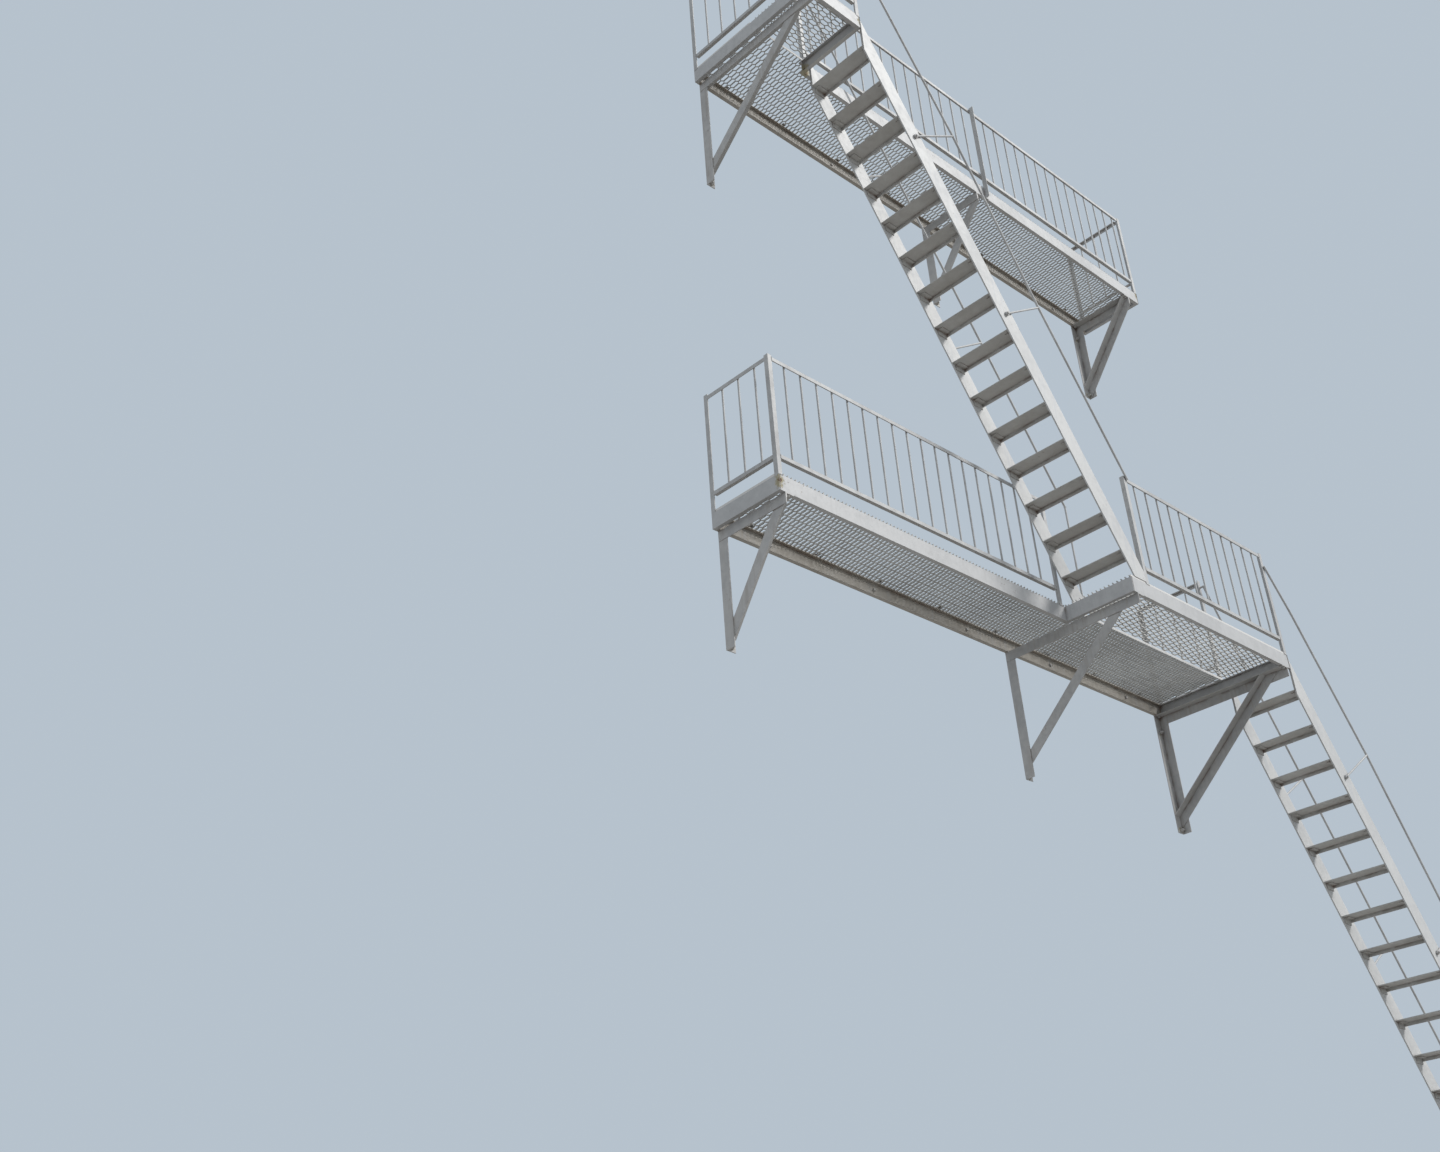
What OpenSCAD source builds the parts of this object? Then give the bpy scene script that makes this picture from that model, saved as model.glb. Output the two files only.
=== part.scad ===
// Fire escape stair for a brick wall: two railed balconies on knee brackets,
// a steep flight between them and a second flight down to the ground.
// X runs along the wall, -Y points away from it and Z is up. The wall is the
// plane y = 0. The origin is on the wall face of the lower left bracket.

/* [Levels] */
// Height of one step
rise = 230; // [200:1:240]
// Horizontal distance from one step to the next
run = 142; // [135:1:160]
// Steps between the lower and the upper deck
upper_risers = 16; // [13:1:17]
// Steps between the ground and the lower deck
lower_risers = 24; // [18:1:26]
// How much deeper the first tread lies than a full step
tread_drop = 40; // [20:1:60]

/* [Balconies] */
// Wall to the outer face of the walkways
walk_depth = 555; // [500:5:650]
// Wall to the outer face of the stair pads
pad_depth = 1082; // [1050:1:1300]
// Length of the lower balcony
lower_length = 4645; // [4300:5:5200]
// Left end of the lower balcony to its stair pad
pad_start = 2690; // [2680:5:2720]
// Left end of the lower balcony to the first post of its stair pad
pad_post = 2868; // [2830:1:2900]
// Left end of the lower balcony to that of the upper one
upper_offset = 125; // [100:5:150]
// Length of the upper balcony
upper_length = 4616; // [4300:5:5200]
// Length of the upper stair pad
upper_pad_length = 539; // [520:1:560]

/* [Frames] */
// Height of the edge channels
frame_h = 105; // [80:1:130]
// Width of the flanges of the edge channels
flange_w = 28; // [22:1:50]
// Thickness of the edge channels
frame_t = 6; // [4:0.5:10]
// Thickness of the grating
deck_t = 18; // [12:1:30]
// Edge of the grating to the outer face of the frame
deck_inset = 4; // [2:1:10]
// Gap between the walkway and the stair pad
deck_gap = 1; // [0.5:0.5:5]
// Clearance between the grating and the posts that pass it
post_clearance = 1; // [0.5:0.5:4]
// Width of one diamond of the grating
diamond_w = 92; // [70:1:120]
// Length of one diamond, across the walkways and along the stair pads
diamond_l = 210; // [160:2:260]
// Width of the strands between the diamonds
strand_w = 16; // [10:1:24]
// Width of the plain edge of the grating
edge_w = 14; // [10:1:24]

/* [Brackets] */
// Width of the legs of the bracket angles
bracket_leg = 70; // [55:1:80]
// Thickness of the bracket angles
bracket_t = 6; // [5:0.5:10]
// Balcony end to the side of its end bracket
bracket_inset = 43; // [20:1:80]
// Right end of the upper balcony to its right bracket
upper_right_inset = 146; // [100:1:200]
// Left end of the upper balcony to its middle bracket
mid_bracket = 2425; // [2300:5:2550]
// Height of the bracket under the lower walkway
lower_drop = 770; // [650:5:850]
// Height of the brackets under the upper walkway
upper_drop = 750; // [650:5:850]
// Height of the brackets under the stair pads
pad_drop = 925; // [850:5:1050]
// Width of the side legs of the struts
strut_w = 70; // [50:1:80]
// Width of the upper legs of the struts
strut_leg = 70; // [25:1:80]
// Foot of the wall leg to the middle of the strut, under the lower walkway
lower_strut_foot = 71; // [60:1:110]
// Tip of the bracket to the middle of the strut, under the lower walkway
lower_strut_tip = 45; // [5:1:80]
// Foot of the wall leg to the middle of the strut, under the upper walkway
upper_strut_foot = 72; // [60:1:110]
// Tip of the bracket to the middle of the strut, under the upper walkway
upper_strut_tip = 8; // [5:1:80]
// Foot of the wall leg to the middle of the strut, under the stair pads
pad_strut_foot = 114; // [60:1:130]
// Tip of the bracket to the middle of the strut, under the stair pads
pad_strut_tip = 158; // [5:1:200]
// Radius of the wall bolt holes
bolt_r = 9; // [6:0.5:10]
// Foot of the wall leg to its lower bolt
bolt_foot = 24; // [20:1:28]
// Top of the wall leg to its upper bolt
bolt_top = 130; // [110:1:180]

/* [Railings] */
// Height of the posts above the frame
post_h = 840; // [835:5:1000]
// Width of the legs of the post angles
post_leg = 32; // [30:1:40]
// Thickness of the post angles
post_t = 5; // [4:0.5:8]
// Width of the legs of the middle post
mid_post_leg = 38; // [30:1:50]
// Left end of the upper balcony to its middle post
mid_post = 2535; // [2400:1:2600]
// Left end of the lower balcony to the last post of its walkway rail
walk_post = 2638; // [2550:1:2650]
// Height of the top rail above the frame
top_rail_z = 827; // [760:1:830]
// Height of the underside of the bottom rail above the frame
bottom_rail_z = 116; // [90:1:200]
// Width of the legs of the rail angles
rail_leg = 25; // [22:1:28]
// Thickness of the rail angles
rail_t = 5; // [3:0.5:6]
// Radius of the balusters
baluster_r = 6.5; // [5:0.5:8]
// Distance between balusters
baluster_pitch = 138; // [100:1:180]
// Wall or left end of the lower walkway to the first baluster
end_first = 148; // [80:1:160]
// First post of the lower pad to the first baluster
pad_first = 133; // [80:1:160]
// First post of the upper walkway to the first baluster
upper_first = 113; // [80:1:160]
// Least distance from the last baluster to the end of its rail
baluster_last = 60; // [50:1:80]

/* [Flights] */
// Width of the stringer bars
stringer_w = 144; // [140:1:180]
// Thickness of the stringer bars
stringer_t = 10; // [8:0.5:14]
// How far a stringer reaches below the backs of the treads
stringer_low = 5; // [4:1:15]
// Outer face of the walkway to the inner stringer
stringer_gap = 39; // [36:1:60]
// Depth of a tread
tread_depth = 127; // [110:1:140]
// Thickness of the tread plates
tread_t = 6; // [4:0.5:8]
// Height of the folded nose of a tread
nose_h = 30; // [20:1:40]
// How far the first tread reaches under the header
tread_back = 9; // [0:1:20]
// Width of the legs of the seats that carry the treads
seat_leg = 42; // [25:1:45]
// Thickness of the seats
seat_t = 5; // [4:0.5:8]
// Length of the seats
seat_length = 90; // [60:1:95]
// Radius of the handrail rods
handrail_r = 8; // [6:0.5:10]
// Radius of the standoff rods, links and uprights
standoff_r = 7; // [5:0.5:9]
// How far the weld at a bend stands out of the handrail
bend_extra = 1.5; // [1:0.5:3]
// Distance from the line of the tread backs to the upper end of an outer handrail
handrail_end_n = 518; // [500:1:600]
// Distance to the first bend of an outer handrail
handrail_bend_n = 556; // [500:1:600]
// Distance to an outer handrail at its first standoff
handrail_high_n = 588; // [500:1:620]
// Distance to the rest of the handrails
handrail_n = 545; // [500:1:600]
// Back of the first tread up to the first bend of an outer handrail
handrail_bend = 450; // [300:1:600]
// Back of the first tread to the first standoff, along the flight
standoff_first = 712; // [500:1:800]
// Steps from one standoff to the next
standoff_steps = 5; // [4:1:6]
// Radius of the round foot of a standoff
foot_r = 15; // [12:0.5:18]
// Length of the shoe plates on the ground
shoe_length = 250; // [240:5:300]
// Width of the shoe plates on the ground
shoe_w = 90; // [80:5:120]
// Thickness of the shoe plates on the ground
shoe_t = 10; // [8:1:16]
// Radius of the anchor holes in the shoe plates
anchor_r = 7; // [5:0.5:9]
// Anchor hole to the end of its shoe plate
anchor_end = 30; // [20:1:40]
// Stringer to the middle of the anchor holes
anchor_side = 22; // [18:1:26]

/* [Hidden] */
$fn = 24;
paint = [0.86, 0.86, 0.84];
paint_shade = [0.72, 0.72, 0.71];

// Ends and levels of the two balconies. A level is the top of the frame.
lower_left = -(bracket_inset + bracket_leg / 2);
lower_right = lower_left + lower_length;
pad_left = lower_left + pad_start;
pad_post_x = lower_left + pad_post;
upper_left = lower_left + upper_offset;
upper_right = upper_left + upper_length;
upper_head = upper_left + upper_pad_length;
lower_z = lower_drop / 2 + frame_h;
upper_z = lower_z + upper_risers * rise;
ground_z = lower_z - tread_drop - lower_risers * rise;

// Cut of the flanges of a channel that butts against the web of another one
flange_cut = flange_w - frame_t;

// Struts, each as the place of its middle above the foot and at the tip
lower_strut = [lower_strut_foot, lower_strut_tip];
upper_strut = [upper_strut_foot, upper_strut_tip];
pad_strut = [pad_strut_foot, pad_strut_tip];

// Posts, each as the outer corner of its angle and the way its legs point
lower_left_posts = [[lower_left, 0, 1, -1]];
lower_right_posts = [[lower_right, 0, -1, -1], [lower_right, -walk_depth, -1, 1]];
lower_front_posts = [[lower_left, -walk_depth, 1, 1],
    [lower_left + walk_post + post_leg, -walk_depth, -1, 1]];
lower_pad_posts = [[pad_post_x, -pad_depth, 1, 1], [lower_right, -pad_depth, -1, 1]];
upper_left_posts = [[upper_left, 0, 1, -1]];
upper_right_posts = [[upper_right, 0, -1, -1]];
upper_front_posts = [[upper_head, -walk_depth, 1, 1], [upper_right, -walk_depth, -1, 1]];
upper_pad_posts = [[upper_left, -pad_depth, 1, 1], [upper_head, -pad_depth, -1, 1]];

// Slope of the flights: s runs down the flight and n points up out of it
pitch = sqrt(rise * rise + run * run);
slope = [run / pitch, -rise / pitch];
normal = [rise / pitch, run / pitch];
stringer_high = stringer_w - stringer_low;
stringer_in = -(walk_depth + stringer_gap);
stringer_out = stringer_t - pad_depth;
tread_w = pad_depth + stringer_in - 2 * stringer_t;
handrail_in = stringer_in + handrail_r;
handrail_out = -pad_depth - handrail_r;

// A flight is the x of its header, the level of the frame there, the z that
// it stands on, its number of steps and the x where its toe is cut off
lower_foot_z = ground_z + shoe_t;
upper_flight = [upper_head, upper_z, lower_z + deck_t, upper_risers, pad_post_x];
lower_flight = [lower_right, lower_z, lower_foot_z, lower_risers, lower_right + (lower_risers + 1) * run];
foot_back = flight_x(lower_flight, lower_foot_z, -stringer_low);
foot_front = flight_x(lower_flight, lower_foot_z, stringer_high);
lower_newel = foot_front - handrail_r;
upper_newel = pad_post_x + post_leg / 2;

// Top back corner of the first tread of a flight, as x and z
function first_back(flight) = [flight[0] - tread_back, flight[1] - tread_drop - rise];

// Point of a flight, s along its slope and n out of it
function flight_point(flight, s, n) = first_back(flight) + s * slope + n * normal;

// Place at x along the line that runs n out of a flight
function flight_s(flight, x, n) = (x - flight_point(flight, 0, n)[0]) / slope[0];

// Height at x of the line that runs n out of a flight
function flight_z(flight, x, n) = flight_point(flight, flight_s(flight, x, n), n)[1];

// Place at height z of the line that runs n out of a flight
function flight_x(flight, z, n) =
    flight_point(flight, (z - flight_point(flight, 0, n)[1]) / slope[1], n)[0];

// Upper end of an inner handrail at x
function inner_top(flight, x) = [x, flight_z(flight, x, handrail_n)];

// Upper end and bends of an outer handrail, which begins at the corner post
function outer_points(flight) = [
    flight_point(flight, flight_s(flight, flight[0] - post_leg / 2, handrail_end_n), handrail_end_n),
    flight_point(flight, -handrail_bend, handrail_bend_n),
    flight_point(flight, standoff_first, handrail_high_n),
    flight_point(flight, standoff_first + standoff_steps * pitch, handrail_n)];

// A point given as x and z, put at y
function at_y(point, y) = [point[0], y, point[1]];

// Sweeps a profile drawn in Y and Z along +X
module along_x(length) {
    rotate([90, 0, 90]) linear_extrude(length) children();
}

// Sweeps a profile drawn in X and Z away from the wall
module outward(length) {
    rotate([90, 0, 0]) linear_extrude(length) children();
}

// Angle section with its corner at the origin and its legs along +X and +Y
module angle_section(leg_a, leg_b, t) {
    polygon([[0, 0], [leg_a, 0], [leg_a, t], [t, t], [t, leg_b], [0, leg_b]]);
}

// Turns what lies along +X and +Y the way the legs of a post point
module turned(p) {
    mirror([p[2] < 0 ? 1 : 0, 0]) mirror([0, p[3] < 0 ? 1 : 0]) children();
}

// Channel section below z = 0, its web at x = 0 and its flanges along +X
module channel_section() {
    translate([0, -frame_h]) difference() {
        square([flange_w, frame_h]);
        translate([frame_t, frame_t]) square([flange_w, frame_h - 2 * frame_t]);
    }
}

// Edge channel along +X. Its web looks to -Y, its flanges point to +Y and are
// cut back at the ends, where they meet other channels.
module edge_channel(length, cut_start, cut_end) {
    color(paint) {
        translate([0, 0, -frame_h]) cube([length, frame_t, frame_h]);
        translate([cut_start, 0, 0]) along_x(length - cut_start - cut_end) channel_section();
    }
}

// Channel across a balcony, from y = 0 outwards. Its web looks to -X.
module cross_channel(length, cut_near) {
    rotate([0, 0, -90]) edge_channel(length, cut_near, frame_t);
}

// Channel on the wall between the end channels of a balcony
module wall_ledger(left, right) {
    translate([left + frame_t, 0, 0]) mirror([0, 1, 0])
        edge_channel(right - left - 2 * frame_t, flange_cut, flange_cut);
}

// Sheet of grating from left to right and from near to far, with a lattice of
// diamonds inside a plain edge, cut out round the posts. The diamonds have
// their width and length along X and Y.
module grating(left, right, near, far, posts, diamond_x, diamond_y) {
    length = right - left;
    depth = near - far;
    columns = ceil(length / diamond_x / 2);
    rows = ceil(depth / diamond_y / 2);
    color(paint_shade) linear_extrude(deck_t) difference() {
        translate([left, far]) square([length, depth]);
        intersection() {
            translate([left + edge_w, far + edge_w]) square([length - 2 * edge_w, depth - 2 * edge_w]);
            translate([(left + right) / 2, (near + far) / 2]) for (i = [-columns : columns], j = [-rows : rows]) {
                translate([i * diamond_x, j * diamond_y]) diamond(diamond_x / 2, diamond_y / 2);
                translate([(i + 0.5) * diamond_x, (j + 0.5) * diamond_y])
                    diamond(diamond_x / 2, diamond_y / 2);
            }
        }
        for (p = posts)
            translate([p[0], p[1]]) turned(p) translate([-deck_inset, -deck_inset])
                square(deck_inset + post_leg + post_clearance);
    }
}

// One opening of the grating, what the strands around it leave
module diamond(half_x, half_y) {
    share = 1 - strand_w / 2 * norm([1 / half_x, 1 / half_y]);
    polygon([[-share * half_x, 0], [0, -share * half_y], [share * half_x, 0], [0, share * half_y]]);
}

// Knee bracket of three angles with its side face at x = 0, its back on the
// wall and its top at z = 0. The strut lies on the inner side of the others. A
// strut is the height of its middle above the foot and its place at the tip.
module bracket(reach, drop, strut) {
    color(paint) difference() {
        union() {
            outward(reach) mirror([0, 1]) angle_section(bracket_leg, bracket_leg, bracket_t);
            translate([0, 0, -drop]) mirror([0, 1, 0]) linear_extrude(drop)
                angle_section(bracket_leg, bracket_leg, bracket_t);
            translate([bracket_t, 0, 0]) along_x(bracket_t) strut_side(reach, drop, strut, 0, strut_w);
            translate([bracket_t, 0, 0]) along_x(strut_leg)
                strut_side(reach, drop, strut, strut_w - bracket_t, bracket_t);
        }
        for (z = [-bolt_top, bolt_foot - drop])
            translate([bracket_leg / 2, bracket_t / 2, z]) rotate([90, 0, 0])
                cylinder(h = 2 * bracket_t, r = bolt_r);
    }
}

// Side view in Y and Z of a strip of a strut. The strip begins at a distance
// from the strut's lower edge.
module strut_side(reach, drop, strut, from, width) {
    foot = [-bracket_leg / 2, strut[0] - drop];
    tip = [-reach + strut[1], -bracket_leg / 2];
    intersection() {
        translate([-reach, -drop]) square([reach - bracket_t, drop - bracket_t]);
        translate(foot) rotate(atan2(tip[1] - foot[1], tip[0] - foot[0]))
            translate([-bracket_leg, strut_w / 2 - from - width])
                square([norm(tip - foot) + 2 * bracket_leg, width]);
    }
}

// Angle post from z = 0, with its corner outwards
module post(p) {
    color(paint) translate([p[0], p[1], 0]) linear_extrude(post_h) turned(p)
        angle_section(post_leg, post_leg, post_t);
}

// Two angle rails and their balusters along +X from x = 0, with their outer face
// at y = 0 and the balusters between their level legs. Each end butts against the
// leg of a post.
module rails(length, first) {
    count = floor((length - first - baluster_last) / baluster_pitch) + 1;
    color(paint) {
        translate([post_leg, 0, bottom_rail_z]) along_x(length - 2 * post_leg)
            angle_section(rail_leg, rail_leg, rail_t);
        translate([post_leg, 0, top_rail_z]) along_x(length - 2 * post_leg) mirror([0, 1])
            angle_section(rail_leg, rail_leg, rail_t);
        for (i = [0 : count - 1])
            translate([first + i * baluster_pitch, (rail_leg + rail_t) / 2, bottom_rail_z])
                cylinder(h = top_rail_z - rail_t / 2 - bottom_rail_z, r = baluster_r);
    }
}

// Railing along the front of a walkway or a pad
module front_railing(left, right, depth, first, posts) {
    translate([left, -depth, 0]) rails(right - left, first);
    for (p = posts)
        post(p);
}

// Rails across the end of a balcony, from the wall outwards, facing -X
module end_rails(depth) {
    rotate([0, 0, -90]) rails(depth, end_first);
}

// Side view in X and Z of a stringer bar, cut off by the header, by what it
// stands on and at its toe
module stringer_side(flight) {
    length = (flight[3] + 2) * pitch;
    intersection() {
        translate([flight[0], flight[2]]) square([flight[4] - flight[0], flight[1] - flight[2]]);
        polygon([flight_point(flight, -length, -stringer_low), flight_point(flight, length, -stringer_low),
            flight_point(flight, length, stringer_high), flight_point(flight, -length, stringer_high)]);
    }
}

// Stringer bar with its wall side at y = 0
module stringer(flight) {
    color(paint) outward(stringer_t) stringer_side(flight);
}

// Treads of a flight, from the header down
module treads(flight) {
    for (k = [0 : flight[3] - 2])
        translate(at_y(first_back(flight) + k * [run, -rise], stringer_in - stringer_t)) tread();
}

// Tread with its top back edge at z = 0 and its inner end at y = 0: a folded
// plate on an angle seat at each stringer
module tread() {
    color(paint_shade) {
        outward(tread_w) polygon([[0, 0], [tread_depth, 0], [tread_depth, -nose_h],
            [tread_depth - tread_t, -nose_h], [tread_depth - tread_t, -tread_t], [0, -tread_t]]);
        for (end = [0, 1])
            translate([tread_depth - tread_t - seat_length, -end * tread_w, -tread_t]) mirror([0, end, 0])
                along_x(seat_length) mirror([1, 0]) mirror([0, 1]) angle_section(seat_leg, seat_leg, seat_t);
    }
}

// Round rod from point a to point b
module rod(a, b, r) {
    d = b - a;
    translate(a) rotate([0, acos(d[2] / norm(d)), atan2(d[1], d[0])]) cylinder(h = norm(d), r = r);
}

// Handrail of a flight at y from its upper end over its bends down to an end in
// x, with its standoffs and the round feet that hold them against the stringer.
// The first points of the rail are given as x and z. The first standoff reaches
// first_n out.
module handrail(flight, y, first_points, first_n, end_x) {
    s_end = flight_s(flight, end_x, handrail_n);
    line = concat(first_points, [flight_point(flight, s_end, handrail_n)]);
    color(paint) {
        for (i = [1 : len(line) - 1])
            rod(at_y(line[i - 1], y), at_y(line[i], y), handrail_r);
        for (i = [1 : len(line) - 2])
            translate(at_y(line[i], y)) sphere(r = handrail_r + bend_extra);
        for (s = [standoff_first : standoff_steps * pitch : s_end]) {
            foot = flight_point(flight, s, stringer_w / 2 - stringer_low);
            tip = flight_point(flight, s, s > standoff_first ? handrail_n : first_n);
            rod(at_y(foot, y), at_y(tip, y), standoff_r);
            translate(at_y(foot, y + handrail_r)) rotate([90, 0, 0]) cylinder(h = 2 * handrail_r, r = foot_r);
        }
    }
}

// Upright from the lower end of a handrail down to z
module newel(flight, x, y, z) {
    top = flight_z(flight, x, handrail_n);
    color(paint) {
        translate([x, y, z]) cylinder(h = top - z, r = standoff_r);
        translate([x, y, top]) sphere(r = handrail_r + bend_extra);
    }
}

// Link from the top of an inner handrail to the post beside it
module rail_link(top) {
    color(paint) {
        rod(at_y(top, handrail_in), at_y(top, -walk_depth), standoff_r);
        translate(at_y(top, handrail_in)) sphere(r = handrail_r + bend_extra);
    }
}

// Shoe plate under the foot of a stringer, the stringer's wall side at y = 0.
// The anchor holes lie on the outer side of the bar, or on its wall side
// where side is -1.
module shoe(side) {
    middle = -stringer_t / 2;
    color(paint) difference() {
        translate([-shoe_length / 2, middle - shoe_w / 2, 0]) cube([shoe_length, shoe_w, shoe_t]);
        for (end = [-1, 1])
            translate([end * (shoe_length / 2 - anchor_end), middle - side * (stringer_t / 2 + anchor_side),
                -shoe_t / 2])
                cylinder(h = 2 * shoe_t, r = anchor_r);
    }
}

module lower_ledger() {
    translate([0, 0, lower_z]) wall_ledger(lower_left, lower_right);
}

module lower_end_left() {
    translate([lower_left, 0, lower_z]) cross_channel(walk_depth, frame_t);
}

module lower_end_right() {
    translate([lower_right, 0, lower_z]) mirror([1, 0, 0]) cross_channel(pad_depth, frame_t);
}

module lower_front_beam() {
    translate([lower_left + frame_t, -walk_depth, lower_z])
        edge_channel(pad_start + flange_cut, flange_cut, 0);
}

module lower_pad_side() {
    translate([pad_left, -walk_depth, lower_z]) cross_channel(pad_depth - walk_depth, 0);
}

module lower_pad_front() {
    translate([pad_left + frame_t, -pad_depth, lower_z])
        edge_channel(lower_right - pad_left - 2 * frame_t, flange_cut, flange_cut);
}

module lower_walk_deck() {
    translate([0, 0, lower_z]) grating(lower_left + deck_inset, lower_right - deck_inset,
        -deck_inset, deck_inset - walk_depth, concat(lower_left_posts, lower_right_posts, lower_front_posts),
        diamond_w, diamond_l);
}

module lower_pad_deck() {
    translate([0, 0, lower_z]) grating(pad_left + deck_inset, lower_right - deck_inset,
        -walk_depth - deck_gap, deck_inset - pad_depth, lower_pad_posts, diamond_l, diamond_w);
}

module lower_bracket_left() {
    translate([-bracket_leg / 2, 0, lower_z - frame_h]) bracket(walk_depth, lower_drop, lower_strut);
}

module lower_bracket_pad() {
    translate([pad_left + bracket_inset, 0, lower_z - frame_h]) bracket(pad_depth, pad_drop, pad_strut);
}

module lower_bracket_right() {
    translate([lower_right - bracket_inset, 0, lower_z - frame_h]) mirror([1, 0, 0])
        bracket(pad_depth, pad_drop, pad_strut);
}

module lower_rail_left() {
    translate([lower_left, 0, lower_z]) end_rails(walk_depth);
    translate([0, 0, lower_z]) post(lower_left_posts[0]);
}

module lower_rail_front() {
    translate([0, 0, lower_z])
        front_railing(lower_left, lower_front_posts[1][0], walk_depth, end_first, lower_front_posts);
}

module lower_rail_pad() {
    translate([0, 0, lower_z]) front_railing(pad_post_x, lower_right, pad_depth, pad_first, lower_pad_posts);
}

module lower_rail_right() {
    translate([lower_right, 0, lower_z]) mirror([1, 0, 0]) end_rails(walk_depth);
    for (p = lower_right_posts)
        translate([0, 0, lower_z]) post(p);
}

module upper_ledger() {
    translate([0, 0, upper_z]) wall_ledger(upper_left, upper_right);
}

module upper_end_left() {
    translate([upper_left, 0, upper_z]) cross_channel(pad_depth, frame_t);
}

module upper_end_right() {
    translate([upper_right, 0, upper_z]) mirror([1, 0, 0]) cross_channel(walk_depth, frame_t);
}

module upper_front_beam() {
    start = upper_head - flange_w;
    translate([start, -walk_depth, upper_z])
        edge_channel(upper_right - frame_t - start, 0, flange_cut);
}

module upper_header() {
    translate([upper_head, -walk_depth, upper_z]) mirror([1, 0, 0]) cross_channel(pad_depth - walk_depth, 0);
}

module upper_pad_front() {
    translate([upper_left + frame_t, -pad_depth, upper_z])
        edge_channel(upper_pad_length - 2 * frame_t, flange_cut, flange_cut);
}

module upper_walk_deck() {
    translate([0, 0, upper_z]) grating(upper_left + deck_inset, upper_right - deck_inset,
        -deck_inset, deck_inset - walk_depth, concat(upper_left_posts, upper_right_posts, upper_front_posts),
        diamond_w, diamond_l);
}

module upper_pad_deck() {
    translate([0, 0, upper_z]) grating(upper_left + deck_inset, upper_head - deck_inset,
        -walk_depth - deck_gap, deck_inset - pad_depth, upper_pad_posts, diamond_l, diamond_w);
}

module upper_bracket_left() {
    translate([upper_left + bracket_inset, 0, upper_z - frame_h]) bracket(pad_depth, pad_drop, pad_strut);
}

module upper_bracket_mid() {
    translate([upper_left + mid_bracket, 0, upper_z - frame_h]) bracket(walk_depth, upper_drop, upper_strut);
}

module upper_bracket_right() {
    translate([upper_right - upper_right_inset, 0, upper_z - frame_h]) mirror([1, 0, 0])
        bracket(walk_depth, upper_drop, upper_strut);
}

module upper_rail_left() {
    translate([upper_left, 0, upper_z]) end_rails(pad_depth);
    translate([0, 0, upper_z]) post(upper_left_posts[0]);
}

module upper_rail_pad() {
    translate([0, 0, upper_z]) front_railing(upper_left, upper_head, pad_depth, pad_first, upper_pad_posts);
}

module upper_rail_front() {
    translate([0, 0, upper_z]) front_railing(upper_head, upper_right, walk_depth, upper_first, upper_front_posts);
    color(paint) translate([upper_left + mid_post, -walk_depth, upper_z - frame_h])
        linear_extrude(frame_h + post_h) mirror([0, 1]) angle_section(mid_post_leg, mid_post_leg, post_t);
}

module upper_rail_right() {
    translate([upper_right, 0, upper_z]) mirror([1, 0, 0]) end_rails(walk_depth);
    translate([0, 0, upper_z]) post(upper_right_posts[0]);
}

module upper_stringer_inner() {
    translate([0, stringer_in, 0]) stringer(upper_flight);
}

module upper_stringer_outer() {
    translate([0, stringer_out, 0]) stringer(upper_flight);
}

module upper_treads() {
    treads(upper_flight);
}

module upper_handrail_inner() {
    link = inner_top(upper_flight, upper_head + post_leg / 2);
    handrail(upper_flight, handrail_in, [link], handrail_n, upper_newel);
    rail_link(link);
    newel(upper_flight, upper_newel, handrail_in, lower_z + deck_t);
}

module upper_handrail_outer() {
    handrail(upper_flight, handrail_out, outer_points(upper_flight), handrail_high_n, pad_post_x + post_leg);
}

module lower_stringer_inner() {
    translate([0, stringer_in, 0]) stringer(lower_flight);
    translate([(foot_back + foot_front) / 2, stringer_in, ground_z]) shoe(1);
}

module lower_stringer_outer() {
    translate([0, stringer_out, 0]) stringer(lower_flight);
    translate([(foot_back + foot_front) / 2, stringer_out, ground_z]) shoe(-1);
}

module lower_treads() {
    treads(lower_flight);
}

module lower_handrail_inner() {
    link = inner_top(lower_flight, lower_right - post_leg / 2);
    handrail(lower_flight, handrail_in, [link], handrail_n, lower_newel);
    rail_link(link);
    newel(lower_flight, lower_newel, handrail_in, lower_foot_z);
}

module lower_handrail_outer() {
    handrail(lower_flight, handrail_out, outer_points(lower_flight), handrail_high_n, lower_newel);
    newel(lower_flight, lower_newel, handrail_out, lower_foot_z);
}

lower_ledger();
lower_end_left();
lower_end_right();
lower_front_beam();
lower_pad_side();
lower_pad_front();
lower_walk_deck();
lower_pad_deck();
lower_bracket_left();
lower_bracket_pad();
lower_bracket_right();
lower_rail_left();
lower_rail_front();
lower_rail_pad();
lower_rail_right();
upper_ledger();
upper_end_left();
upper_end_right();
upper_front_beam();
upper_header();
upper_pad_front();
upper_walk_deck();
upper_pad_deck();
upper_bracket_left();
upper_bracket_mid();
upper_bracket_right();
upper_rail_left();
upper_rail_pad();
upper_rail_front();
upper_rail_right();
upper_stringer_inner();
upper_stringer_outer();
upper_treads();
upper_handrail_inner();
upper_handrail_outer();
lower_stringer_inner();
lower_stringer_outer();
lower_treads();
lower_handrail_inner();
lower_handrail_outer();
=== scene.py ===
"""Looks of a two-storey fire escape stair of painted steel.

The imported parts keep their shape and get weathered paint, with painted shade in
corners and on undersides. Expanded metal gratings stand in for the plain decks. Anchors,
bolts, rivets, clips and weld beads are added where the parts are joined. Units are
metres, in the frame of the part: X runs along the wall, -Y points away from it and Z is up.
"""

from __future__ import annotations

import logging
import math
from dataclasses import dataclass, field
from enum import Enum
from functools import partialmethod
from typing import Callable, Sequence

import bmesh
import bpy
from mathutils import Matrix, Vector


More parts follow.
